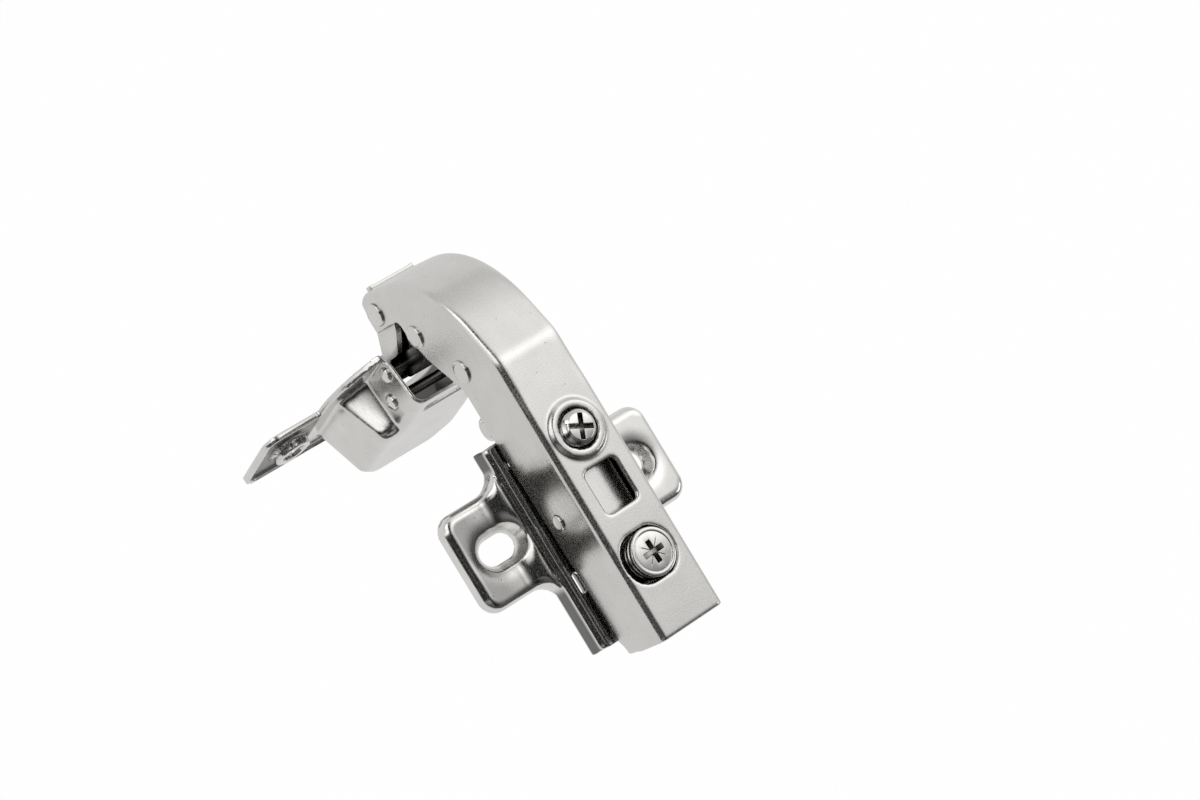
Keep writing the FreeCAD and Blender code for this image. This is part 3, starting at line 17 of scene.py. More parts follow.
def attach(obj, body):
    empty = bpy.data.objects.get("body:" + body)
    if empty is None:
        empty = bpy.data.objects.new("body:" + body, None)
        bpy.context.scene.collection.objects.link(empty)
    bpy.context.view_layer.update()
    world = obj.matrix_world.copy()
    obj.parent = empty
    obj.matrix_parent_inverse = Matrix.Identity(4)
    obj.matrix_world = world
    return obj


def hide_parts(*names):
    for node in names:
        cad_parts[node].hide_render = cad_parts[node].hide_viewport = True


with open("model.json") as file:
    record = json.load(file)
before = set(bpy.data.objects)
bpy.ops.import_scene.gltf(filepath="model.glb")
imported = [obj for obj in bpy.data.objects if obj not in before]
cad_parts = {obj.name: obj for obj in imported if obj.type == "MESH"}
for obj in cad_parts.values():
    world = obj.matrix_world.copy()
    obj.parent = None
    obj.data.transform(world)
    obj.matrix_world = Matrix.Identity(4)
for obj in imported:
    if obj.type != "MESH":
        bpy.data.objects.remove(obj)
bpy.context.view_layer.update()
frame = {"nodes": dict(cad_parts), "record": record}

NODES = frame["nodes"]
MM = 0.001

# %% [markdown]
# ## Camera
# The camera stands above and in front of the hinge and is rolled, so that the arm runs from the
# upper left to the lower right. Its place and turn come from a fit of known lengths on the hinge
# to the picture, so the lens is a long one and there is no shift.

# %% Camera
CAMERA_PLACE = (-19.748 * MM, -291.669 * MM, 526.747 * MM)
CAMERA_TURN = (16.5016, -26.0955, 54.8641)
LENS_MM = 97.986

camera_data = bpy.data.cameras.new("camera")
camera_data.sensor_width = 36.0
camera_data.lens = LENS_MM
camera_data.clip_start = 0.01
camera_data.clip_end = 20.0
camera = bpy.data.objects.new("camera", camera_data)
bpy.context.scene.collection.objects.link(camera)
camera.location = CAMERA_PLACE
camera.rotation_euler = [math.radians(a) for a in CAMERA_TURN]
bpy.context.scene.camera = camera
print("camera", [round(v, 3) for v in camera.location], "lens", LENS_MM)

# %% [markdown]
# ## Floor
# The hinge is shown on plain white. A wide pale floor lies well below it, because the hinge is
# screwed to a cabinet and stands on nothing. The floor's material is a matt grey for the light
# that falls on things, mixed with a white glow that only the camera and mirror reflections see,
# so that the page looks white without pouring light on the steel. In mirror reflections the glow
# is a little lower, which gives the arm's side its even grey.

# %% Floor
FLOOR_Z = -0.16
FLOOR_HALF = 3.0
FLOOR_WHITE = 0.95
FLOOR_SEEN = 1.02
FLOOR_MIRRORED = 0.78


def link_object(name, mesh):
    """A new object with this mesh, in the scene."""
    item = bpy.data.objects.new(name, mesh)
    bpy.context.scene.collection.objects.link(item)
    return item


def finish_mesh(shape, name, smooth=False):
    """Turns a bmesh into an object at the origin."""
    mesh = bpy.data.meshes.new(name)
    shape.to_mesh(mesh)
    shape.free()
    if smooth:
        mesh.shade_smooth()
    return link_object(name, mesh)


floor_shape = bmesh.new()
bmesh.ops.create_grid(floor_shape, x_segments=1, y_segments=1, size=FLOOR_HALF)
bmesh.ops.translate(floor_shape, vec=(0, 0, FLOOR_Z), verts=floor_shape.verts)
floor = finish_mesh(floor_shape, "floor")
print("floor at", FLOOR_Z)


# %% Floor material
def add_node(tree, kind, place=(0, 0), **values):
    """A node with some of its properties set."""
    node = tree.nodes.new(kind)
    node.location = place
    for key, value in values.items():
        setattr(node, key, value)
    return node


def math_node(tree, operation, first, second, place=(0, 0), clamp=False):
    """A Math node; each input is a number or another node's output."""
    node = add_node(tree, "ShaderNodeMath", place, operation=operation, use_clamp=clamp)
    for index, value in enumerate((first, second)):
        if isinstance(value, (int, float)):
            node.inputs[index].default_value = value
        elif value is not None:
            tree.links.new(value, node.inputs[index])
    return node.outputs[0]


def ramp_between(tree, value, start, end, low=0.0, high=1.0, place=(0, 0)):
    """Maps value from start..end to low..high, smoothly and clamped."""
    node = add_node(tree, "ShaderNodeMapRange", place, interpolation_type="SMOOTHSTEP")
    tree.links.new(value, node.inputs["Value"])
    node.inputs["From Min"].default_value = start
    node.inputs["From Max"].default_value = end
    node.inputs["To Min"].default_value = low
    node.inputs["To Max"].default_value = high
    return node.outputs["Result"]


floor_material = bpy.data.materials.new("pale_floor")
floor_material.use_nodes = True
tree = floor_material.node_tree
floor_shader = tree.nodes["Principled BSDF"]
floor_shader.inputs["Base Color"].default_value = (0.86, 0.86, 0.86, 1)
floor_shader.inputs["Roughness"].default_value = 0.9
floor_shader.inputs["Specular IOR Level"].default_value = 0.1
path = add_node(tree, "ShaderNodeLightPath", (-800, 200))
mirror = math_node(tree, "MAXIMUM", path.outputs["Is Glossy Ray"],
                   path.outputs["Is Transmission Ray"], (-600, 100))
white = math_node(tree, "MULTIPLY", path.outputs["Is Camera Ray"], FLOOR_WHITE, (-600, 300))
share = math_node(tree, "MAXIMUM", white, mirror, (-400, 200))
seen = add_node(tree, "ShaderNodeMix", (-400, -300), data_type="FLOAT")
tree.links.new(mirror, seen.inputs["Factor"])
seen.inputs["A"].default_value = FLOOR_SEEN
seen.inputs["B"].default_value = FLOOR_MIRRORED
glow = add_node(tree, "ShaderNodeEmission", (0, -300))
glow.inputs["Color"].default_value = (1, 1, 1, 1)
tree.links.new(seen.outputs["Result"], glow.inputs["Strength"])
mix = add_node(tree, "ShaderNodeMixShader", (300, 0))
tree.links.new(share, mix.inputs[0])
tree.links.new(floor_shader.outputs[0], mix.inputs[1])
tree.links.new(glow.outputs[0], mix.inputs[2])
tree.links.new(mix.outputs[0], tree.nodes["Material Output"].inputs[0])
floor.data.materials.append(floor_material)
print("floor white share", FLOOR_WHITE)

# %% [markdown]
# ## World
# Plated steel shows little of itself: it mirrors the room. A photographer lights such parts with
# a white tent that has a gap for the lens, and that gap is what draws the black lines along the
# edges. So the world is a white room in upright panels, brightest a little towards the cup
# and dimmest past the arm's rear end. The dark gap on the camera's side has two parts: a narrow
# post from roof to floor, and a low wide bar. The camera itself sees plain white.

# %% World
GAP_LEVEL = 0.012
PANELS = [(0.0, 0.44), (0.08, 0.50), (0.22, 0.52), (0.36, 0.80), (0.45, 0.70), (0.50, 0.52),
          (0.55, 0.33), (0.65, 0.16), (0.78, 0.06), (1.0, 0.05)]

world = bpy.data.worlds.new("white_tent")
bpy.context.scene.world = world
world.use_nodes = True
tree = world.node_tree
background = tree.nodes["Background"]
background.inputs["Strength"].default_value = 1.0
path = add_node(tree, "ShaderNodeLightPath", (-1200, 400))
coordinates = add_node(tree, "ShaderNodeTexCoord", (-1600, 0))
parts = add_node(tree, "ShaderNodeSeparateXYZ", (-1400, 0))
tree.links.new(coordinates.outputs["Generated"], parts.inputs[0])
aside = math_node(tree, "ABSOLUTE", parts.outputs["X"], None, (-1200, 100))
gap_width = ramp_between(tree, aside, 0.12, 0.30, 1.0, 0.0, (-1000, 100))
gap_side = ramp_between(tree, parts.outputs["Y"], 0.28, -0.12, 0.0, 1.0, (-1000, -100))
gap_post = math_node(tree, "MULTIPLY", gap_width, gap_side, (-800, 0))
bar_width = ramp_between(tree, aside, 0.78, 0.95, 1.0, 0.0, (-1000, 300))
bar_end = ramp_between(tree, parts.outputs["Y"], -0.24, -0.40, 1.0, 0.0, (-1000, 500))
bar_face = math_node(tree, "MULTIPLY", bar_width, gap_side, (-800, 300))
gap_bar = math_node(tree, "MULTIPLY", bar_face, bar_end, (-700, 400))
gap = math_node(tree, "MAXIMUM", gap_post, gap_bar, (-650, 200))
across = math_node(tree, "MULTIPLY_ADD", parts.outputs["X"], 0.5, (-1200, -500))
across.node.inputs[2].default_value = 0.5
panels = add_node(tree, "ShaderNodeValToRGB", (-1000, -500))
panels.color_ramp.elements.remove(panels.color_ramp.elements[0])
for index, (place_on_ramp, value) in enumerate(PANELS):
    if index == 0:
        stop = panels.color_ramp.elements[0]
        stop.position = place_on_ramp
    else:
        stop = panels.color_ramp.elements.new(place_on_ramp)
    stop.color = (value, value, value, 1)
tree.links.new(across, panels.inputs[0])
height = ramp_between(tree, parts.outputs["Z"], -0.1, 0.8, 1.25, 2.0, (-1000, -300))
panel_level = math_node(tree, "MULTIPLY", panels.outputs[0], height, (-700, -400))
level = add_node(tree, "ShaderNodeMix", (-600, 0), data_type="FLOAT")
tree.links.new(gap, level.inputs["Factor"])
tree.links.new(panel_level, level.inputs["A"])
level.inputs["B"].default_value = GAP_LEVEL
plain = add_node(tree, "ShaderNodeMix", (-400, 0), data_type="FLOAT")
tree.links.new(path.outputs["Is Camera Ray"], plain.inputs["Factor"])
tree.links.new(level.outputs["Result"], plain.inputs["A"])
plain.inputs["B"].default_value = 1.0
grey = add_node(tree, "ShaderNodeCombineColor", (-200, 0))
for channel in ("Red", "Green", "Blue"):
    tree.links.new(plain.outputs["Result"], grey.inputs[channel])
tree.links.new(grey.outputs[0], background.inputs["Color"])
print("world panels:", len(PANELS), "gap level", GAP_LEVEL)


# %% [markdown]
# ## Light
# One large soft lamp stands high to the left and one behind, as round a light tent. They are
# weak, because the tent does most of the lighting, and they keep the steel below clipping.

# %% Lamps
def soft_lamp(name, place, aim, width, height, power):
    """A rectangular lamp at place, facing aim."""
    data = bpy.data.lights.new(name, "AREA")
    data.shape = "RECTANGLE"
    data.size = width
    data.size_y = height
    data.energy = power
    lamp = bpy.data.objects.new(name, data)
    bpy.context.scene.collection.objects.link(lamp)
    lamp.location = place
    direction = Vector(aim) - Vector(place)
    lamp.rotation_euler = direction.to_track_quat("-Z", "Y").to_euler()
    return lamp


soft_lamp("lamp_left", (-0.9, -0.5, 0.6), (-0.02, 0, 0), 0.5, 0.5, 1.0)
soft_lamp("lamp_behind", (0.5, 0.9, 0.5), (-0.02, 0, 0), 0.5, 0.4, 1.0)

# %% [markdown]
# ## Plated steel, as a node group
# All the steel is nickel plated, so one group makes the effect and each material gives it its
# own values. Close up the plating is not flat: rolling leaves faint streaks along the strip, and
# the tumbling barrel leaves a fine grain and a few fine scratches. Corners get painted shade.
# The group works in millimetres from Object coordinates, because every piece has its place in
# its mesh, so the grain has one size on all of them. A Bevel node rounds what would be
# knife-sharp edges, and its difference from the true normal marks where edges are worn bright.

# %% Plated steel group
def new_group(name, inputs, outputs):
    """An empty shader node group with named sockets, and its two end nodes."""
    group = bpy.data.node_groups.new(name, "ShaderNodeTree")
    for title, kind, value in inputs:
        socket = group.interface.new_socket(title, in_out="INPUT", socket_type=kind)
        socket.default_value = value
    for title, kind in outputs:
        group.interface.new_socket(title, in_out="OUTPUT", socket_type=kind)
    start = add_node(group, "NodeGroupInput", (-2400, 0))
    end = add_node(group, "NodeGroupOutput", (900, 0))
    return group, start.outputs, end.inputs


def noise_of(tree, vector, scale, detail, place, stretch=None):
    """Noise with a scale per millimetre; stretch multiplies each axis first."""
    if stretch is not None:
        mapping = add_node(tree, "ShaderNodeMapping", (place[0] - 200, place[1]))
        mapping.inputs["Scale"].default_value = stretch
        tree.links.new(vector, mapping.inputs["Vector"])
        vector = mapping.outputs[0]
    node = add_node(tree, "ShaderNodeTexNoise", place)
    tree.links.new(vector, node.inputs["Vector"])
    if isinstance(scale, (int, float)):
        node.inputs["Scale"].default_value = scale
    else:
        tree.links.new(scale, node.inputs["Scale"])
    node.inputs["Detail"].default_value = detail
    node.inputs["Roughness"].default_value = 0.6
    return node.outputs[0]


def edge_wear_and_sheen(tree, radius, place):
    """A rounded normal, and a mask that is 1 on outer edges."""
    rounded = add_node(tree, "ShaderNodeBevel", place, samples=6)
    rounded.inputs["Radius"].default_value = radius
    true = add_node(tree, "ShaderNodeNewGeometry", (place[0], place[1] - 200))
    match = add_node(tree, "ShaderNodeVectorMath", (place[0] + 200, place[1]),
                     operation="DOT_PRODUCT")
    tree.links.new(rounded.outputs[0], match.inputs[0])
    tree.links.new(true.outputs["Normal"], match.inputs[1])
    mask = ramp_between(tree, match.outputs["Value"], 0.995, 0.85, 0.0, 1.0,
                        (place[0] + 400, place[1]))
    return rounded.outputs[0], mask


plating, given, out = new_group("plated_steel", [
    ("Tone", "NodeSocketColor", (0.8, 0.79, 0.77, 1)),
    ("Grain per mm", "NodeSocketFloat", 2.6),
    ("Grain depth", "NodeSocketFloat", 0.5),
    ("Cloudiness", "NodeSocketFloat", 0.06),
    ("Gloss loss", "NodeSocketFloat", 0.22),
    ("Shade in corners", "NodeSocketFloat", 0.5),
    ("Corner reach", "NodeSocketFloat", 5.0),
    ("Painted shade", "NodeSocketFloat", 0.0),
], [("Colour", "NodeSocketColor"), ("Roughness", "NodeSocketFloat"),
    ("Normal", "NodeSocketVector")])
where = add_node(plating, "ShaderNodeTexCoord", (-2400, -400))
in_mm = add_node(plating, "ShaderNodeVectorMath", (-2200, -400), operation="SCALE")
in_mm.inputs["Scale"].default_value = 1 / MM
plating.links.new(where.outputs["Object"], in_mm.inputs[0])
spot = in_mm.outputs[0]
grain = noise_of(plating, spot, given["Grain per mm"], 3.0, (-1800, 0))
streaks = noise_of(plating, spot, 1.0, 2.0, (-1800, -250), (0.12, 2.2, 2.2))
clouds = noise_of(plating, spot, 0.16, 2.0, (-1800, -500))
hair = noise_of(plating, spot, 1.0, 1.0, (-1800, -750), (5.5, 0.10, 5.5))
scratch = ramp_between(plating, hair, 0.70, 0.76, 0.0, 1.0, (-1600, -750))
pits = add_node(plating, "ShaderNodeTexVoronoi", (-1800, -1000))
plating.links.new(spot, pits.inputs["Vector"])
pits.inputs["Scale"].default_value = 0.42
pit = ramp_between(plating, pits.outputs["Distance"], 0.075, 0.035, 0.0, 1.0, (-1600, -1000))
soft_normal, wear_and_sheen = edge_wear_and_sheen(plating, 0.16 * MM, (-1800, 400))
# Ambient occlusion darkens the colour in corners and hollows: painted shade, as strong as Shade
# in corners.
shelter = add_node(plating, "ShaderNodeAmbientOcclusion", (-1800, 700), samples=6)
reach = math_node(plating, "MULTIPLY", given["Corner reach"], MM, (-2000, 700))
plating.links.new(reach, shelter.inputs["Distance"])
open_air = ramp_between(plating, shelter.outputs["AO"], 0.02, 0.62, 0.0, 1.0, (-1600, 700))
closed_in = math_node(plating, "SUBTRACT", 1.0, open_air, (-1400, 700))
shade = math_node(plating, "MULTIPLY", closed_in, given["Shade in corners"], (-1200, 700))
cloud_part = math_node(plating, "SUBTRACT", clouds, 0.5, (-1400, -500))
grain_part = math_node(plating, "SUBTRACT", grain, 0.5, (-1400, 0))
cloud_tone = math_node(plating, "MULTIPLY", cloud_part, given["Cloudiness"], (-1200, -500))
grain_tone = math_node(plating, "MULTIPLY", grain_part, 0.22, (-1200, -100))
tone_shift = math_node(plating, "ADD", cloud_tone, grain_tone, (-1000, -300))
pit_tone = math_node(plating, "MULTIPLY", pit, 0.30, (-1000, -900))
tone_level = math_node(plating, "ADD", tone_shift, 1.0, (-800, -300))
tone_pitted = math_node(plating, "SUBTRACT", tone_level, pit_tone, (-600, -300))
# A painted mask from the material darkens and dulls the colour further: painted shade and painted
# dark reflection.
lit_open = math_node(plating, "SUBTRACT", 1.0, shade, (-800, 600))
clear = math_node(plating, "SUBTRACT", 1.0, given["Painted shade"], (-800, 800))
lit = math_node(plating, "MULTIPLY", lit_open, clear, (-600, 600))
tone_full = math_node(plating, "MULTIPLY", tone_pitted, lit, (-400, 0))
coloured = add_node(plating, "ShaderNodeVectorMath", (-200, 100), operation="SCALE")
plating.links.new(given["Tone"], coloured.inputs[0])
plating.links.new(tone_full, coloured.inputs["Scale"])
bright_edge = add_node(plating, "ShaderNodeMix", (0, 100), data_type="RGBA")
edge_share = math_node(plating, "MULTIPLY", wear_and_sheen, 0.2, (-200, 300))
plating.links.new(edge_share, bright_edge.inputs["Factor"])
plating.links.new(coloured.outputs[0], bright_edge.inputs["A"])
bright_edge.inputs["B"].default_value = (0.86, 0.85, 0.83, 1)
plating.links.new(bright_edge.outputs["Result"], out["Colour"])
dull = math_node(plating, "MULTIPLY", grain_part, 0.35, (-1200, 100))
streak_part = math_node(plating, "SUBTRACT", streaks, 0.5, (-1400, -250))
dull_streak = math_node(plating, "MULTIPLY", streak_part, 0.12, (-1200, -250))
dull_scratch = math_node(plating, "MULTIPLY", scratch, 0.10, (-1200, -750))
rough_a = math_node(plating, "ADD", dull, dull_streak, (-800, 100))
rough_b = math_node(plating, "ADD", rough_a, dull_scratch, (-600, 100))
rough_c = math_node(plating, "ADD", rough_b, given["Gloss loss"], (-400, 200))
shade_dull = math_node(plating, "MULTIPLY", given["Painted shade"], 0.14, (-400, 350))
rough_shaded = math_node(plating, "ADD", rough_c, shade_dull, (-300, 300))
rough_d = math_node(plating, "MAXIMUM", rough_shaded, 0.06, (-200, 200))
plating.links.new(rough_d, out["Roughness"])
relief_a = math_node(plating, "MULTIPLY", grain, given["Grain depth"], (-1200, -1200))
relief_b = math_node(plating, "MULTIPLY", streaks, 0.35, (-1200, -1350))
relief_c = math_node(plating, "MULTIPLY", pit, -1.2, (-1200, -1500))
relief_d = math_node(plating, "ADD", relief_a, relief_b, (-1000, -1250))
relief_e = math_node(plating, "ADD", relief_d, relief_c, (-800, -1300))
bump = add_node(plating, "ShaderNodeBump", (-400, -1200))
bump.inputs["Strength"].default_value = 1.0
bump.inputs["Distance"].default_value = 0.012 * MM
plating.links.new(relief_e, bump.inputs["Height"])
plating.links.new(soft_normal, bump.inputs["Normal"])
plating.links.new(bump.outputs[0], out["Normal"])
print("group", plating.name, "nodes", len(plating.nodes))

# %% [markdown]
# ## Moulded plastic, as a node group
# The damper, the rollers and the guides are black moulded plastic. It has a fine spark-eroded
# texture, edges lightened as a painted highlight, and slow changes of gloss where it flowed.

# %% Moulded plastic group
moulding, given, out = new_group("moulded_plastic", [
    ("Tone", "NodeSocketColor", (0.012, 0.012, 0.013, 1)),
    ("Gloss loss", "NodeSocketFloat", 0.42),
], [("Colour", "NodeSocketColor"), ("Roughness", "NodeSocketFloat"),
    ("Normal", "NodeSocketVector")])
where = add_node(moulding, "ShaderNodeTexCoord", (-2400, -400))
in_mm = add_node(moulding, "ShaderNodeVectorMath", (-2200, -400), operation="SCALE")
in_mm.inputs["Scale"].default_value = 1 / MM
moulding.links.new(where.outputs["Object"], in_mm.inputs[0])
texture = noise_of(moulding, in_mm.outputs[0], 5.0, 2.0, (-1800, 0))
flow = noise_of(moulding, in_mm.outputs[0], 0.25, 2.0, (-1800, -250))
soft_normal, wear_and_sheen = edge_wear_and_sheen(moulding, 0.15 * MM, (-1800, 400))
# Outer edges get a lighter colour: a painted highlight.
lighter = add_node(moulding, "ShaderNodeMix", (-600, 200), data_type="RGBA")
edge_share = math_node(moulding, "MULTIPLY", wear_and_sheen, 0.5, (-800, 300))
moulding.links.new(edge_share, lighter.inputs["Factor"])
moulding.links.new(given["Tone"], lighter.inputs["A"])
lighter.inputs["B"].default_value = (0.05, 0.05, 0.052, 1)
moulding.links.new(lighter.outputs["Result"], out["Colour"])
flow_part = math_node(moulding, "SUBTRACT", flow, 0.5, (-1400, -250))
flow_gloss = math_node(moulding, "MULTIPLY", flow_part, 0.3, (-1200, -250))
gloss = math_node(moulding, "ADD", flow_gloss, given["Gloss loss"], (-1000, -100))
moulding.links.new(gloss, out["Roughness"])
bump = add_node(moulding, "ShaderNodeBump", (-600, -400))
bump.inputs["Strength"].default_value = 0.8
bump.inputs["Distance"].default_value = 0.02 * MM
moulding.links.new(texture, bump.inputs["Height"])
moulding.links.new(soft_normal, bump.inputs["Normal"])
moulding.links.new(bump.outputs[0], out["Normal"])
print("group", moulding.name, "nodes", len(moulding.nodes))


# %% [markdown]
# ## The finishes
# The arm is satin nickel with a visible grain. The mounting plate, the cup and the turned parts
# are brighter, because their steel was drawn or turned. Spring wire is the brightest, and the
# release lever's face is dull. Pieces deep in the hinge get a darker copy of the finish as
# painted shade, with a long reach for the shade in corners, and the pivot wire a nearly black
# copy as painted shade. The clip base gets a lighter copy without corner shade, as painted light.
# The cup and the plate read a painted mask of painted shade and painted dark reflection. The
# shader itself stays in each material, with its plain values on its own sockets, and only what
# changes over the surface comes out of a group.

# %% Materials
def finish_material(name, group, metallic, **values):
    """A Principled material whose changing values come from a group."""
    material = bpy.data.materials.new(name)
    material.use_nodes = True
    tree = material.node_tree
    shader = tree.nodes["Principled BSDF"]
    shader.inputs["Metallic"].default_value = metallic
    effect = add_node(tree, "ShaderNodeGroup", (-400, 0), node_tree=group)
    for title, value in values.items():
        effect.inputs[title.replace("_", " ")].default_value = value
    tree.links.new(effect.outputs["Colour"], shader.inputs["Base Color"])
    tree.links.new(effect.outputs["Roughness"], shader.inputs["Roughness"])
    tree.links.new(effect.outputs["Normal"], shader.inputs["Normal"])
    return material


def plated(name, tone, grain, relief, clouds, gloss_loss, shade, reach, reads_shade_paint=False):
    """A plated steel; with the flag set it also reads a painted attribute of painted shade."""
    material = finish_material(
        name, plating, 1.0, Tone=(*tone, 1), Grain_per_mm=grain, Grain_depth=relief,
        Cloudiness=clouds, Gloss_loss=gloss_loss, Shade_in_corners=shade, Corner_reach=reach)
    if reads_shade_paint:
        tree = material.node_tree
        film = add_node(tree, "ShaderNodeAttribute", (-700, 0), attribute_name="shade_paint")
        effect = next(node for node in tree.nodes if node.type == "GROUP")
        tree.links.new(film.outputs["Fac"], effect.inputs["Painted shade"])
    return material


FINISHES = {
    "satin_nickel_steel": plated(
        "satin_nickel", (0.71, 0.70, 0.68), 3.4, 0.8, 0.16, 0.24, 0.7, 3.5),
    "bright_nickel_steel": plated(
        "bright_nickel", (0.72, 0.71, 0.69), 3.6, 0.5, 0.16, 0.16, 0.8, 4.0),
    "spring_wire": plated(
        "drawn_wire", (0.76, 0.75, 0.73), 4.0, 0.3, 0.05, 0.13, 0.85, 8.0),
    "ribbed_grey_steel": plated(
        "ribbed_grey", (0.5, 0.5, 0.5), 3.0, 0.8, 0.15, 0.34, 0.5, 4.0),
    "black_plastic": finish_material("black_moulding", moulding, 0.0),
}
# A darker copy with strong, far-reaching corner shade: painted shade for pieces deep in the
# hinge.
DEEP_SHADE = plated("deep_shade_nickel", (0.70, 0.69, 0.67), 3.6, 0.6, 0.2, 0.2, 0.97, 14.0)
DRAWN_CUP = plated(
    "drawn_cup_nickel", (0.73, 0.72, 0.70), 3.6, 0.5, 0.2, 0.2, 0.45, 3.0, reads_shade_paint=True)
# A lighter copy of the plating without corner shade: painted light for the clip base.
FLAT_LIT = plated("painted_light_nickel", (0.80, 0.79, 0.77), 3.6, 0.7, 0.1, 0.24, 0.0, 2.0)
DRAWN_PLATE = plated(
    "drawn_plate_nickel", (0.78, 0.77, 0.75), 3.6, 0.4, 0.25, 0.17, 0.85, 3.5, reads_shade_paint=True)
# A nearly black copy of the plating for the pivot wire: painted shade deep in the nose.
SHADED_WIRE = plated("painted_shade_wire", (0.17, 0.165, 0.16), 3.6, 0.6, 0.4, 0.3, 0.97, 14.0)
print("finishes:", [material.name for material in bpy.data.materials])


# %% [markdown]
# ## Helpers for new pieces
# A piece takes its finish, rides a body and stands in for a CAD node in one call. A turned piece
# is drawn as half its outline and spun, the way a lathe would cut it. A pressed piece starts
# from the CAD's own sheet: its loose triangles are merged, wrapped in one even skin and relaxed,
# which is what pressing does to every corner of a sheet.

# %% Piece helpers
SLOT_OF = {row["node"]: row["material_slot"] for row in frame["record"]["subparts"]}


def settle(piece, body, slot, *nodes, finish=None):
    """Finish, body and replaced nodes of a new piece."""
    piece.data.materials.clear()
    piece.data.materials.append(finish or FINISHES[slot])
    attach(piece, body)
    if nodes:
        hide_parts(*nodes)
    return piece


def outward(shape):
    """Merges doubles and turns all faces outwards."""
    bmesh.ops.remove_doubles(shape, verts=shape.verts, dist=0.0005 * MM)
    bmesh.ops.recalc_face_normals(shape, faces=shape.faces)


def soften(shape, width, sharp=35.0, segments=3):
    """Bevels every edge that turns by more than sharp degrees."""
    limit = math.radians(sharp)
    edges = [e for e in shape.edges if len(e.link_faces) == 2 and e.calc_face_angle(0.0) > limit]
    bmesh.ops.bevel(shape, geom=edges, offset=width, offset_type="OFFSET", affect="EDGES",
                    segments=segments, profile=0.5, material=-1, clamp_overlap=True)


def lathe(outline, steps=64):
    """A bmesh turned about Z from (radius, height) pairs in millimetres."""
    shape = bmesh.new()
    corners = [shape.verts.new((r * MM, 0, z * MM)) for r, z in outline]
    rims = [shape.edges.new(pair) for pair in zip(corners, corners[1:])]
    bmesh.ops.spin(shape, geom=corners + rims, cent=(0, 0, 0), axis=(0, 0, 1),
                   angle=2 * math.pi, steps=steps, use_merge=True)
    outward(shape)
    return shape


def place(shape, spot, turn=None):
    """Moves a bmesh from its own axis to spot, after an optional turn."""
    matrix = Matrix.Translation(Vector(spot) * MM)
    if turn is not None:
        matrix = matrix @ turn
    bmesh.ops.transform(shape, matrix=matrix, verts=shape.verts)
    return shape


def apply_modifiers(item):
    """Writes an object's modifiers into its mesh."""
    graph = bpy.context.evaluated_depsgraph_get()
    graph.update()
    mesh = bpy.data.meshes.new_from_object(item.evaluated_get(graph))
    item.modifiers.clear()
    item.data = mesh
    return item


def cut(item, tool):
    """Subtracts one object from another and deletes the tool."""
    change = item.modifiers.new("cut", "BOOLEAN")
    change.operation = "DIFFERENCE"
    change.solver = "EXACT"
    change.object = tool
    apply_modifiers(item)
    bpy.data.objects.remove(tool)
    return item


def sharp_shading(item, angle=35.0):
    """Smooth shading that keeps edges sharper than angle."""
    item.data.shade_smooth()
    item.data.set_sharp_from_angle(angle=math.radians(angle))


def pressed_copy(node, name, skin, rounds, extras=()):
    """The CAD sheet and any extras in one even skin, with its corners relaxed."""
    shape = bmesh.new()
    shape.from_mesh(NODES[node].data)
    bmesh.ops.remove_doubles(shape, verts=shape.verts, dist=0.001 * MM)
    for extra in extras:
        shape.from_mesh(extra.data)
        bpy.data.objects.remove(extra)
    item = finish_mesh(shape, name)
    wrap = item.modifiers.new("skin", "REMESH")
    wrap.mode = "VOXEL"
    wrap.voxel_size = skin * MM
    wrap.use_smooth_shade = True
    relax = item.modifiers.new("relax", "SMOOTH")
    relax.factor = 0.5
    relax.iterations = rounds
    apply_modifiers(item)
    item.data.shade_smooth()
    print(name, "faces", len(item.data.polygons))
    return item


def step(value, start, end):
    """0 before start, 1 after end and a smooth rise between."""
    part = min(max((value - start) / (end - start), 0.0), 1.0)
    return part * part * (3 - 2 * part)


def relax_where(item, weight_of, rounds):
    """Relaxes a mesh further where weight_of(point in mm) is above zero."""
    group = item.vertex_groups.new(name="relaxed")
    for vertex in item.data.vertices:
        weight = weight_of(vertex.co / MM)
        if weight > 0.01:
            group.add([vertex.index], weight, "REPLACE")
    relax = item.modifiers.new("relax", "SMOOTH")
    relax.factor = 0.5
    relax.iterations = rounds
    relax.vertex_group = group.name
    apply_modifiers(item)
    item.vertex_groups.clear()
    item.data.shade_smooth()


def paint_shade_mask(item, rule):
    """Paints rule(point in mm, facing) into the attribute of painted shade that some finishes
    read.
    """
    film = item.data.attributes.new("shade_paint", "FLOAT", "POINT")
    for vertex in item.data.vertices:
        film.data[vertex.index].value = rule(vertex.co / MM, vertex.normal)


# %% [markdown]
# ## Cup
# The cup is drawn from one sheet, so nothing on it is sharp: its shoulders, the step beside the
# hinge's nose and the sunk screw holes all run into each other. The CAD has the same walls with
# plain corners. Wrapping them in a skin of small even faces and relaxing it gives those soft
# runs without drawing the cup a second time. Thin webs close the nose's walls up to the flange,
# and the dimple round each screw hole is drawn a little narrower and deeper. Last, a mask of
# painted shade darkens the inside of the cup and the sunk pan of the flange.

# %% Cup
CUP_MIDDLE = Vector((-37.28, 0.0, -38.28))
CUP_ALONG = Vector((-0.18886, 0.0, 0.982005))
CUP_INTO_DOOR = Vector((0.982005, 0.0, 0.18886))
CUP_HOLE_Y = 22.5
FLANGE_DEPTH = 0.9
DIMPLE_START = 2.4
DIMPLE_END = 4.6
DIMPLE_REACH = 6.5


def in_cup(y, along, depth):
    """A point of the cup, in millimetres."""
    return CUP_MIDDLE + Vector((0, y, 0)) + CUP_ALONG * along + CUP_INTO_DOOR * depth


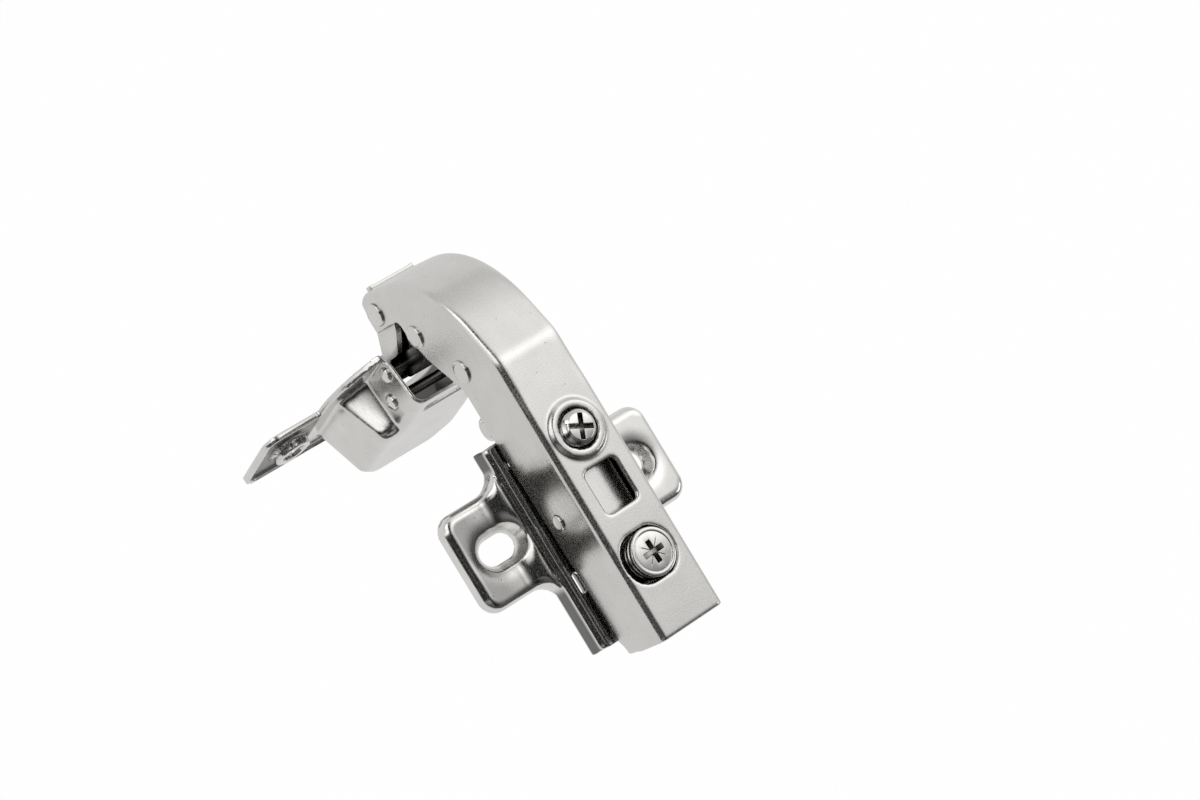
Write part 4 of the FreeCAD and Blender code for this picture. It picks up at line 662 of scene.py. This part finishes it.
def nose_web(side):
    """A thin three-cornered sheet between the nose's wall and the flange."""
    shape = bmesh.new()
    outline = [(10.5, 0.2), (24.6, 0.2), (25.3, 3.3)]
    corners = [shape.verts.new(in_cup(side * 7.8, u, d) * MM) for u, d in outline]
    face = shape.faces.new(corners)
    made = bmesh.ops.extrude_face_region(shape, geom=[face])
    moved = [item for item in made["geom"] if isinstance(item, bmesh.types.BMVert)]
    bmesh.ops.translate(shape, verts=moved, vec=(0, side * 0.7 * MM, 0))
    outward(shape)
    return finish_mesh(shape, "nose_web")


def place_in_cup(point):
    """How far a point lies across, along and into the cup."""
    away = point - CUP_MIDDLE
    return away.y, away.dot(CUP_ALONG), away.dot(CUP_INTO_DOOR)


def draw_dimple(item):
    """Narrows and deepens the dimple round each screw hole."""
    for vertex in item.data.vertices:
        y, along, depth = place_in_cup(vertex.co / MM)
        for hole in (-CUP_HOLE_Y, CUP_HOLE_Y):
            away = math.hypot(y - hole, along)
            if away < DIMPLE_START or away > DIMPLE_REACH or depth < FLANGE_DEPTH:
                continue
            wanted = away
            if away < DIMPLE_END:
                wanted = DIMPLE_START + (away - DIMPLE_START) * 0.72
            scale = wanted / away
            rise = (depth - FLANGE_DEPTH) * 0.35
            new = in_cup(hole + (y - hole) * scale, along * scale, depth + rise)
            vertex.co = new * MM


def shoulder_weight(point):
    """1 on the outer step beside the nose, in millimetres."""
    y, along, depth = place_in_cup(point)
    near = step(abs(y), 6.9, 8.2) * step(along, 6.0, 8.5) * (1 - step(along, 17.5, 20.0))
    return near * step(depth, 0.6, 1.6)


def shade_on_cup(point, facing):
    """How much painted shade a point gets: inside the cup, and in the flange's pan."""
    y, along, depth = place_in_cup(point)
    y = abs(y)
    if y > 17.2:
        away = math.hypot(y - CUP_HOLE_Y, along)
        inside = step(9.3 - abs(along), 0.0, 0.4) * step(30.1 - y, 0.0, 0.4)
        low = step(depth, 0.4, 0.6) * (1 - step(depth, 1.0, 1.4))
        return 0.72 * inside * low * step(away, 4.2, 4.8)
    heart = in_cup(0.0, 12.0, 5.0) - point
    inward = step(facing.dot(heart.normalized()), 0.0, 0.2)
    return 0.85 * inward * step(depth, FLANGE_DEPTH, 1.6) * (1 - step(y, 13.0, 14.5))


cup = pressed_copy("hinge_cup", "pressed_cup", 0.26, 5, (nose_web(1), nose_web(-1)))
draw_dimple(cup)
relax_where(cup, shoulder_weight, 60)
paint_shade_mask(cup, shade_on_cup)
settle(cup, "cup", "bright_nickel_steel", "hinge_cup", finish=DRAWN_CUP)

# %% [markdown]
# ## Mounting plate
# The plate is stamped from thicker sheet. A broad slope leads from its spine down to each wing,
# the wings' rims roll over, and each slot lies in a soft funnel so that the screw's head sits
# low. The same skin is used, and then every point of a wing is moved up or down by one smooth
# height rule, which is what a press tool does to the sheet. The spine's flanks get a painted
# shadow, and the wing at -Y a painted dark reflection, through the same mask as the cup.

# %% Mounting plate
SPINE_HALF = 10.2
SPINE_TOP = 4.8
WING_HALF = 10.0
WING_REACH = 24.8
WING_TOP = 3.2
WING_CORNER = 3.5
WING_ROOT = 4.5
RIM_ROLL = 2.0
SLOPE_END = 15.6
CROWN = 0.02
SLOT_Y = 16.0
SLOT_RUN = 1.35
SLOT_HALF = 2.5
FUNNEL_DEPTH = 0.5
FUNNEL_SPREAD = 1.7


def inside_wing(x, y):
    """Distance from a point to the wing's outline, in millimetres."""
    side = WING_HALF - abs(x)
    front = WING_REACH - abs(y)
    if abs(y) < WING_ROOT + SPINE_HALF - 0.3:
        root_centre = WING_HALF + WING_ROOT
        across = SPINE_HALF - 0.3 + WING_ROOT - abs(y)
        side = math.hypot(root_centre - abs(x), across) - WING_ROOT
        if abs(x) > root_centre:
            side = across - WING_ROOT
    corner_x = abs(x) - (WING_HALF - WING_CORNER)
    corner_y = abs(y) - (WING_REACH - WING_CORNER)
    if corner_x > 0 and corner_y > 0:
        return WING_CORNER - math.hypot(corner_x, corner_y)
    return min(side, front)


def wing_height(x, y):
    """Height of the wing's upper face."""
    slope = (SPINE_TOP - 0.25 - WING_TOP) * (1 - step(abs(y), SPINE_HALF, SLOPE_END))
    slope -= CROWN * (abs(y) - SPINE_HALF)
    edge = min(max(inside_wing(x, y), 0.0), RIM_ROLL)
    roll = RIM_ROLL - math.sqrt(RIM_ROLL ** 2 - (RIM_ROLL - edge) ** 2)
    roll *= 0.8 * step(abs(y), SPINE_HALF, SPINE_HALF + 2.5)
    beside = max(abs(abs(y) - SLOT_Y) - SLOT_RUN, 0.0)
    away = max(math.hypot(x, beside) - SLOT_HALF - 0.6, 0.0)
    funnel = FUNNEL_DEPTH * math.exp(-(away / FUNNEL_SPREAD) ** 2)
    return WING_TOP + slope - roll - funnel


def press_wings(item):
    """Moves the wings' points to the pressed height."""
    for vertex in item.data.vertices:
        x, y, z = vertex.co / MM
        if abs(y) < SPINE_HALF or z < 0.05:
            continue
        top = wing_height(x, y)
        if z <= WING_TOP:
            new = z * top / WING_TOP
        else:
            share = (z - WING_TOP) / (SPINE_TOP - WING_TOP)
            new = top + share * max(SPINE_TOP - top, 0.0) * 0.4
        blend = step(abs(y), SPINE_HALF, SPINE_HALF + 0.5)
        vertex.co.z = (z + (new - z) * blend) * MM


def spine_edge_weight(point):
    """1 on the upper outer corners of the spine, away from the wings."""
    outer = step(abs(point.y), 8.3, 9.0) * step(point.z, 1.5, 2.5)
    return outer * step(abs(point.x), 8.5, 11.5)


def shade_on_plate(point, facing):
    """Painted shade at a point: a shadow on the spine's flanks, a dark reflection on the -Y wing.
    """
    x, y, z = point
    skirt = step(abs(y), 9.4, 9.8) * step(abs(x), 11.5, 13.5) * step(z, 0.3, 0.6)
    skirt *= 0.78 * (1 - step(z, 3.3, 4.1))
    face = step(-y, 11.0, 13.0) * step(inside_wing(x, y), 1.4, 2.2) * step(z, 1.2, 1.8)
    face *= 0.14 + 0.34 * step(-y, 15.0, 20.5)
    return max(skirt, face)


plate = pressed_copy("mounting_plate", "winged_plate", 0.24, 4)
press_wings(plate)
relax_where(plate, spine_edge_weight, 50)
paint_shade_mask(plate, shade_on_plate)
settle(plate, "fixed_base", "bright_nickel_steel", "mounting_plate", finish=DRAWN_PLATE)
print("wing's rim rolled by", RIM_ROLL, "mm")

# %% [markdown]
# ## Arm
# The arm is a long channel drawn from one strip. Its roof is drawn up into a smooth ring that the
# cover screw is threaded through, which is a surface of revolution, so its outline is spun. The
# hole of the depth cam is closed a little on one side, because the cam's pin lies beside its
# middle. Ring, filling and channel are wrapped together in one skin, which rounds every punched
# edge as real punching does, and the long corners of the bent front are relaxed further.

# %% Arm
RING_X = -11.4
ROOF = 20.7
CAM_X = 14.45
CAM_HOLE = 5.02

ring_outline = [(6.2, ROOF - 0.3), (5.9, ROOF + 0.02), (5.55, ROOF + 0.22), (5.3, ROOF + 0.44),
                (5.05, ROOF + 0.58), (4.8, ROOF + 0.64), (4.5, ROOF + 0.64),
                (4.2, ROOF + 0.56), (4.0, ROOF + 0.40), (3.88, ROOF + 0.1),
                (3.88, ROOF - 1.1), (4.3, ROOF - 1.1), (4.3, ROOF - 0.3)]
ring_shape = lathe(ring_outline + ring_outline[:1], 96)
ring = finish_mesh(place(ring_shape, (RING_X, 0, 0)), "cover_ring")

filling = bmesh.new()
bmesh.ops.create_cube(filling, size=1.0)
bmesh.ops.scale(filling, vec=(10.9 * MM, 5.2 * MM, 1.1 * MM), verts=filling.verts)
filling_item = finish_mesh(place(filling, (CAM_X, 3.65, ROOF - 0.56)), "cam_filling")
drill = bmesh.new()
bmesh.ops.create_cone(drill, cap_ends=True, segments=96, radius1=CAM_HOLE * MM,
                      radius2=CAM_HOLE * MM, depth=6 * MM)
cut(filling_item, finish_mesh(place(drill, (CAM_X, 0, ROOF)), "drill"))

arm = pressed_copy("arm_channel", "formed_arm", 0.28, 4, (ring, filling_item))

middle_line = [vertex.co / MM for vertex in arm.data.vertices
               if abs(vertex.co.y) < 0.8 * MM and vertex.co.x < -15 * MM]
roof_line = KDTree(len(middle_line))
for index, point in enumerate(middle_line):
    roof_line.insert((point.x, 0, point.z), index)
roof_line.balance()


def long_corner_weight(point):
    """1 on the long corners of the bent front and on the lower rear corners."""
    front = (1 - step(point.x, -24.0, -17.0)) * step(abs(point.y), 4.4, 5.6)
    if front > 0:
        away = roof_line.find((point.x, 0, point.z))[2]
        front *= 1 - step(away, 1.9, 3.4)
    rear = step(point.x, 25.8, 27.6) * (1 - step(point.z, 9.0, 12.0))
    rear *= step(abs(point.y), 6.0, 6.6)
    return max(front, rear)


relax_where(arm, long_corner_weight, 60)
settle(arm, "arm", "satin_nickel_steel", "arm_channel")
print("arm triangles about", 2 * len(arm.data.polygons))


# %% [markdown]
# ## Clip base under the window
# The base that the arm clips on is seen only through the arm's window. Its top is drawn up there
# into a low table, so its face lies just under the roof and catches the light. The sheet is
# wrapped like the others, and the points of its top are lifted by one smooth rule.

# %% Clip base
TABLE_RISE = 1.7


def lift_table(item):
    """Lifts the base's top between the cover screw and the depth cam."""
    for vertex in item.data.vertices:
        x, y, z = vertex.co / MM
        along = step(x, -7.6, -5.2) * (1 - step(x, 6.4, 8.6))
        across = 1 - step(abs(y), 4.6, 5.9)
        vertex.co.z += TABLE_RISE * along * across * step(z, 12.8, 13.6) * MM


base = pressed_copy("clip_base", "raised_clip_base", 0.26, 3)
lift_table(base)
# The clip base takes the lighter copy: painted light under the window.
settle(base, "fixed_base", "bright_nickel_steel", "clip_base", finish=FLAT_LIT)
print("table lifted", TABLE_RISE)


# %% [markdown]
# ## Cross recess
# Both adjusting screws are driven by a cross. The cover screw has a wide one whose arms nearly
# reach its edge, and the cam has a small one with four fine ticks between the arms. Each arm is
# a blade that gets narrower as it goes down, so two blades make the punch, and the screw is cut
# with it.

# %% Cross punch
def blade(half_length, tip_half, depth, width, top):
    """One upright blade along X, narrower at its foot, with its top above the face."""
    shape = bmesh.new()
    bmesh.ops.create_cube(shape, size=1.0)
    for vertex in shape.verts:
        above = vertex.co.z > 0
        reach = half_length if above else tip_half
        half_width = width / 2 if above else width * 0.36
        vertex.co.x = math.copysign(reach, vertex.co.x) * MM
        vertex.co.y = math.copysign(half_width, vertex.co.y) * MM
        vertex.co.z = (top + 0.3 if above else top - depth) * MM
    return shape


def cross_punch(spot, turn, half_length, tip_half, depth, width, top, name):
    """Cuts both arms of a cross into the object called name."""
    for angle in (turn, turn + 90.0):
        shape = blade(half_length, tip_half, depth, width, top)
        bmesh.ops.rotate(shape, verts=shape.verts, cent=(0, 0, 0),
                         matrix=Matrix.Rotation(math.radians(angle), 3, "Z"))
        bmesh.ops.translate(shape, verts=shape.verts, vec=(spot[0] * MM, spot[1] * MM, 0))
        outward(shape)
        cut(bpy.data.objects[name], finish_mesh(shape, "punch"))


# %% [markdown]
# ## Cover screw
# This screw lifts the front of the arm. It is a stud with a coarse thread almost up to its top,
# and the thread shows as bright crescents on the side towards the camera. The core is turned,
# and the thread is a small four-sided outline spun with a rise on each step, which is just how
# a helix is swept. Near the top its crest is pulled in to follow the chamfer.

# %% Cover screw
SCREW_TOP = 22.5
SCREW_CORE = 2.7
SCREW_CREST = 3.3
SCREW_PITCH = 1.15
SCREW_LOW = 15.1
THREAD_TOP = SCREW_TOP - 0.9

core_outline = [(0.0, SCREW_TOP), (2.5, SCREW_TOP), (2.7, SCREW_TOP - 0.07),
                (2.82, SCREW_TOP - 0.25), (SCREW_CORE, SCREW_TOP - 0.5),
                (SCREW_CORE, SCREW_LOW), (1.6, SCREW_LOW), (1.6, 13.5), (2.7, 13.5),
                (2.8, 12.65), (0.0, 12.65)]
core = finish_mesh(place(lathe(core_outline), (RING_X, 0, 0)), "cover_screw_core")


def thread_shape(core_radius, crest_radius, pitch, low, high, steps=40):
    """A helical ridge between two heights, closed at both ends."""
    shape = bmesh.new()
    start = [(core_radius - 0.12, low), (crest_radius, low + pitch * 0.42),
             (crest_radius, low + pitch * 0.56), (core_radius - 0.12, low + pitch * 0.98)]
    corners = [shape.verts.new((r * MM, 0, z * MM)) for r, z in start]
    section = shape.faces.new(corners)
    turns = (high - low) / pitch
    count = int(steps * turns)
    bmesh.ops.spin(shape, geom=[section], cent=(0, 0, 0), axis=(0, 0, 1),
                   dvec=(0, 0, pitch / steps * MM), angle=2 * math.pi * turns, steps=count,
                   use_merge=False)
    outward(shape)
    return shape


thread = thread_shape(SCREW_CORE, SCREW_CREST, SCREW_PITCH, SCREW_LOW, THREAD_TOP)
for vertex in thread.verts:
    reach = math.hypot(vertex.co.x, vertex.co.y) / MM
    allowed = 2.9 + (SCREW_TOP - vertex.co.z / MM) * 0.8
    if reach > allowed:
        vertex.co.x *= allowed / reach
        vertex.co.y *= allowed / reach
thread_item = finish_mesh(place(thread, (RING_X, 0, 0)), "cover_screw_thread")
for name in ("cover_screw_core", "cover_screw_thread"):
    cross_punch((RING_X, 0), -25.5, 2.55, 2.0, 2.0, 1.05, SCREW_TOP, name)
    sharp_shading(bpy.data.objects[name], 40)
settle(core, "cover_screw", "bright_nickel_steel", "overlay_screw")
settle(thread_item, "cover_screw", "bright_nickel_steel")
print("thread turns", round((THREAD_TOP - SCREW_LOW) / SCREW_PITCH, 1))

# %% [markdown]
# ## Depth cam
# The cam at the back is a disc that turns on a pin beside its middle. It is turned too: a flat
# face inside a narrow raised rim, and two shallow grooves round its side. The small cross is
# punched first, then four thin ticks that tell the driver's type.

# %% Depth cam
CAM_OFFSET = -0.9
CAM_TOP = 21.5
cam_outline = [(0.0, CAM_TOP - 0.06), (3.55, CAM_TOP - 0.06), (3.72, CAM_TOP - 0.12),
               (3.86, CAM_TOP - 0.02), (4.0, CAM_TOP), (4.28, CAM_TOP), (4.5, CAM_TOP - 0.10),
               (4.6, CAM_TOP - 0.3), (4.6, 20.6), (4.38, 20.45), (4.38, 20.2), (4.6, 20.05),
               (4.6, 19.4), (4.38, 19.25), (4.38, 19.0), (4.6, 18.85), (4.6, 17.65), (0.0, 17.65)]
cam = finish_mesh(place(lathe(cam_outline, 96), (CAM_X, 0, 0)), "cam_disc")
cross_punch((CAM_X, 0), 2.0, 2.42, 1.6, 1.6, 1.12, CAM_TOP, "cam_disc")
cross_punch((CAM_X, 0), 47.0, 2.7, 2.3, 0.22, 0.14, CAM_TOP - 0.06, "cam_disc")
sharp_shading(cam, 35)
# The cam takes the darker copy as painted shade.
settle(cam, "depth_cam", "bright_nickel_steel", "depth_cam_screw", finish=DEEP_SHADE)
pin_outline = [(0.0, 17.7), (2.6, 17.7), (2.6, 15.1), (1.9, 15.1), (1.9, 13.8), (2.5, 13.8),
               (2.5, 12.65), (0.0, 12.65)]
cam_pin = lathe(pin_outline, 48)
soften(cam_pin, 0.12 * MM)
cam_pin_item = finish_mesh(place(cam_pin, (CAM_X, CAM_OFFSET, 0)), "cam_pin")
sharp_shading(cam_pin_item, 30)
settle(cam_pin_item, "depth_cam", "bright_nickel_steel")
print("cam top", CAM_TOP)

# %% [markdown]
# ## Rivets
# Four rivets pass through the arm. Each has a flat factory head on one side, and on the other
# the shank was spread by a punch, which leaves a dimple in the middle. They are turned pieces,
# laid along Y.

# %% Rivets
RIVETS = [
    ("tip_rivet", "arm", (-48.3, -8.2), 2.3, 0.5, 7.57, 1.5),
    ("link_rivet", "arm", (-40.8, 0.4), 2.3, 0.5, 7.57, 1.5),
    ("stop_rivet", "arm", (-30.8, 8.7), 2.3, 0.5, 7.57, 1.5),
    ("tilt_rivet", "tilt_pin", (1.6, 10.5), 1.6, 0.45, 7.62, 1.0),
]


def rivet_outline(head, rise, half, shank):
    """Half outline: a flat head below, a spread and dimpled one above."""
    top = half + rise
    return [(0.0, -top + 0.05), (head * 0.62, -top + 0.03), (head - 0.28, -top),
            (head - 0.08, -top + 0.10), (head, -top + 0.30), (head - 0.02, -half - 0.02),
            (shank, -half), (shank, half), (head - 0.02, half + 0.02), (head, top - 0.36),
            (head - 0.12, top - 0.16), (head - 0.36, top - 0.03), (head * 0.62, top),
            (head * 0.46, top - 0.05), (head * 0.34, top - 0.22), (head * 0.16, top - 0.34),
            (0.0, top - 0.36)]


LAY_ALONG_Y = Matrix.Rotation(math.radians(-90), 4, "X")
for node, body, (x, z), head, rise, half, shank in RIVETS:
    shape = lathe(rivet_outline(head, rise, half, shank), 48)
    place(shape, (x, 0, z), LAY_ALONG_Y)
    rivet = finish_mesh(shape, node.replace("rivet", "headed_rivet"))
    sharp_shading(rivet, 50)
    settle(rivet, body, "bright_nickel_steel", node)
    print(rivet.name, [round(v / MM, 2) for v in rivet.dimensions])


# %% [markdown]
# ## Wound springs
# The closing spring is one length of wire: a leg, a few close turns round the pivot and the
# other leg. A curve with a round bevel is the natural way to draw wire, because its section
# stays round through every bend. The release lever's small spring is made the same way.

# %% Wound springs
def wound_wire(name, points, radius):
    """A smooth wire of one radius through these points, as a mesh."""
    data = bpy.data.curves.new(name, "CURVE")
    data.dimensions = "3D"
    data.bevel_depth = radius * MM
    data.bevel_resolution = 5
    data.use_fill_caps = True
    data.resolution_u = 5
    line = data.splines.new("NURBS")
    line.points.add(len(points) - 1)
    for knot, spot in zip(line.points, points):
        knot.co = (*(Vector(spot) * MM), 1.0)
    line.order_u = 3
    line.use_endpoint_u = True
    item = bpy.data.objects.new(name, data)
    bpy.context.scene.collection.objects.link(item)
    graph = bpy.context.evaluated_depsgraph_get()
    mesh = bpy.data.meshes.new_from_object(item.evaluated_get(graph))
    bpy.data.objects.remove(item)
    mesh.shade_smooth()
    return link_object(name, mesh)


def turns_of(centre, radius, y_start, y_end, turns, first, per_turn=14):
    """Points of a coil round a Y axis, from an angle in degrees."""
    spots = []
    count = int(turns * per_turn)
    for index in range(count + 1):
        part = index / count
        angle = math.radians(first) - 2 * math.pi * turns * part
        spots.append((centre[0] + radius * math.cos(angle), y_start + (y_end - y_start) * part,
                      centre[1] + radius * math.sin(angle)))
    return spots


COIL = (-31.0, 1.3)
WIRE = 0.65
COIL_RADIUS = 1.3
COIL_TURNS = 3.97
LEG_Y = 3.0
leg = [(13.5, 3.2), (9.0, 3.2), (6.9, 3.2), (4.8, 1.6), (1.9, -0.3)]
left_leg = [(COIL[0] + x, -LEG_Y, z) for x, z in leg]
right_leg = [(COIL[0] + x, LEG_Y, z) for x, z in reversed(leg)]
coil = turns_of(COIL, COIL_RADIUS, -LEG_Y, LEG_Y, COIL_TURNS, -78)
spring = wound_wire("closing_spring", left_leg + coil + right_leg, WIRE)
settle(spring, "arm", "spring_wire", "link_spring")

LEVER = (21.5, 11.5)
SMALL_RADIUS = 1.45
SMALL_TURNS = 3.5
SMALL_HALF = 0.75
small_coil = turns_of(LEVER, SMALL_RADIUS, -SMALL_HALF, SMALL_HALF, SMALL_TURNS, 90)
small_leg = [(LEVER[0] - 3.4, -SMALL_HALF, LEVER[1] + SMALL_RADIUS),
             (LEVER[0] - 1.5, -SMALL_HALF, LEVER[1] + SMALL_RADIUS)]
small_end = [(LEVER[0] + 2.0, SMALL_HALF, LEVER[1] - SMALL_RADIUS),
             (LEVER[0] + 5.4, SMALL_HALF, LEVER[1] - 1.2)]
lever_spring = wound_wire("lever_return_spring", small_leg + small_coil + small_end, 0.3)
settle(lever_spring, "fixed_base", "spring_wire", "lever_spring")
print("lever spring turns", SMALL_TURNS)

# %% [markdown]
# ## Hammered wire ends
# The U-shaped pivot wire is held by hammering its two ends over on the cup's wall. Each end is a
# low, slightly uneven dome. A sphere is flattened, and its top is pressed with a few flats.

# %% Hammered ends
END_Y = -8.55
END_RADIUS = 1.6
END_FLAT = 1.38
for index, (x, z) in enumerate(((-37.994, -15.505), (-33.235, -19.07))):
    shape = bmesh.new()
    bmesh.ops.create_uvsphere(shape, u_segments=28, v_segments=16, radius=END_RADIUS * MM)
    for side in range(5):
        angle = math.radians(72 * side + 20 + 31 * index)
        flat = Vector((math.cos(angle) * 0.62, math.sin(angle) * 0.62, 0.79)).normalized()
        for vertex in shape.verts:
            over = vertex.co.dot(flat) - END_FLAT * MM
            if over > 0:
                vertex.co -= flat * over
    bmesh.ops.scale(shape, vec=(1.0, 1.0, 0.62), verts=shape.verts)
    place(shape, (x, END_Y, z), Matrix.Rotation(math.radians(90), 4, "X"))
    end = finish_mesh(shape, "hammered_end_%d" % (index + 1))
    sharp_shading(end, 25)
    settle(end, "cup", "spring_wire")
print("ends at y", END_Y)

# %% [markdown]
# ## Lip at the arm's tip
# The front of the arm ends in a short lip that is turned out a little, with a small relief at
# each end, so it just shows past the roof's curve. It is a thin bar with softened edges.

# %% Front lip
LIP_HALF = 5.2
lip = bmesh.new()
bmesh.ops.create_cube(lip, size=1.0)
bmesh.ops.scale(lip, vec=(0.95 * MM, LIP_HALF * 2 * MM, 1.7 * MM), verts=lip.verts)
bmesh.ops.subdivide_edges(lip, edges=[e for e in lip.edges if abs(
    (e.verts[0].co - e.verts[1].co).y) > LIP_HALF * MM], cuts=6)
for vertex in lip.verts:
    if vertex.co.x < 0 and abs(vertex.co.y) < LIP_HALF * 0.8 * MM:
        vertex.co.x += 0.14 * MM
soften(lip, 0.16 * MM, 60)
place(lip, (-53.25, 0.0, -10.0))
lip_item = finish_mesh(lip, "front_lip")
sharp_shading(lip_item, 40)
settle(lip_item, "arm", "satin_nickel_steel")
print("lip half width", LIP_HALF)

# %% [markdown]
# ## Finishes of the CAD nodes
# The other nodes keep their CAD shape and take the finish of their slot, except the links and
# the pivot wire, which lie deep in the hinge and take darker copies of the finish as painted
# shade.

# %% CAD finishes
OWN_FINISH = {"inner_link_plates": DEEP_SHADE, "outer_link": DEEP_SHADE, "cup_u_pin": SHADED_WIRE}
for name, node in NODES.items():
    node.data.materials.clear()
    node.data.materials.append(OWN_FINISH.get(name, FINISHES[SLOT_OF[name]]))
print("dressed", len(NODES), "nodes")

# %% [markdown]
# ## View settings
# The last step sets the colour view to Standard.

# %% View settings
bpy.context.scene.view_settings.view_transform = "Standard"
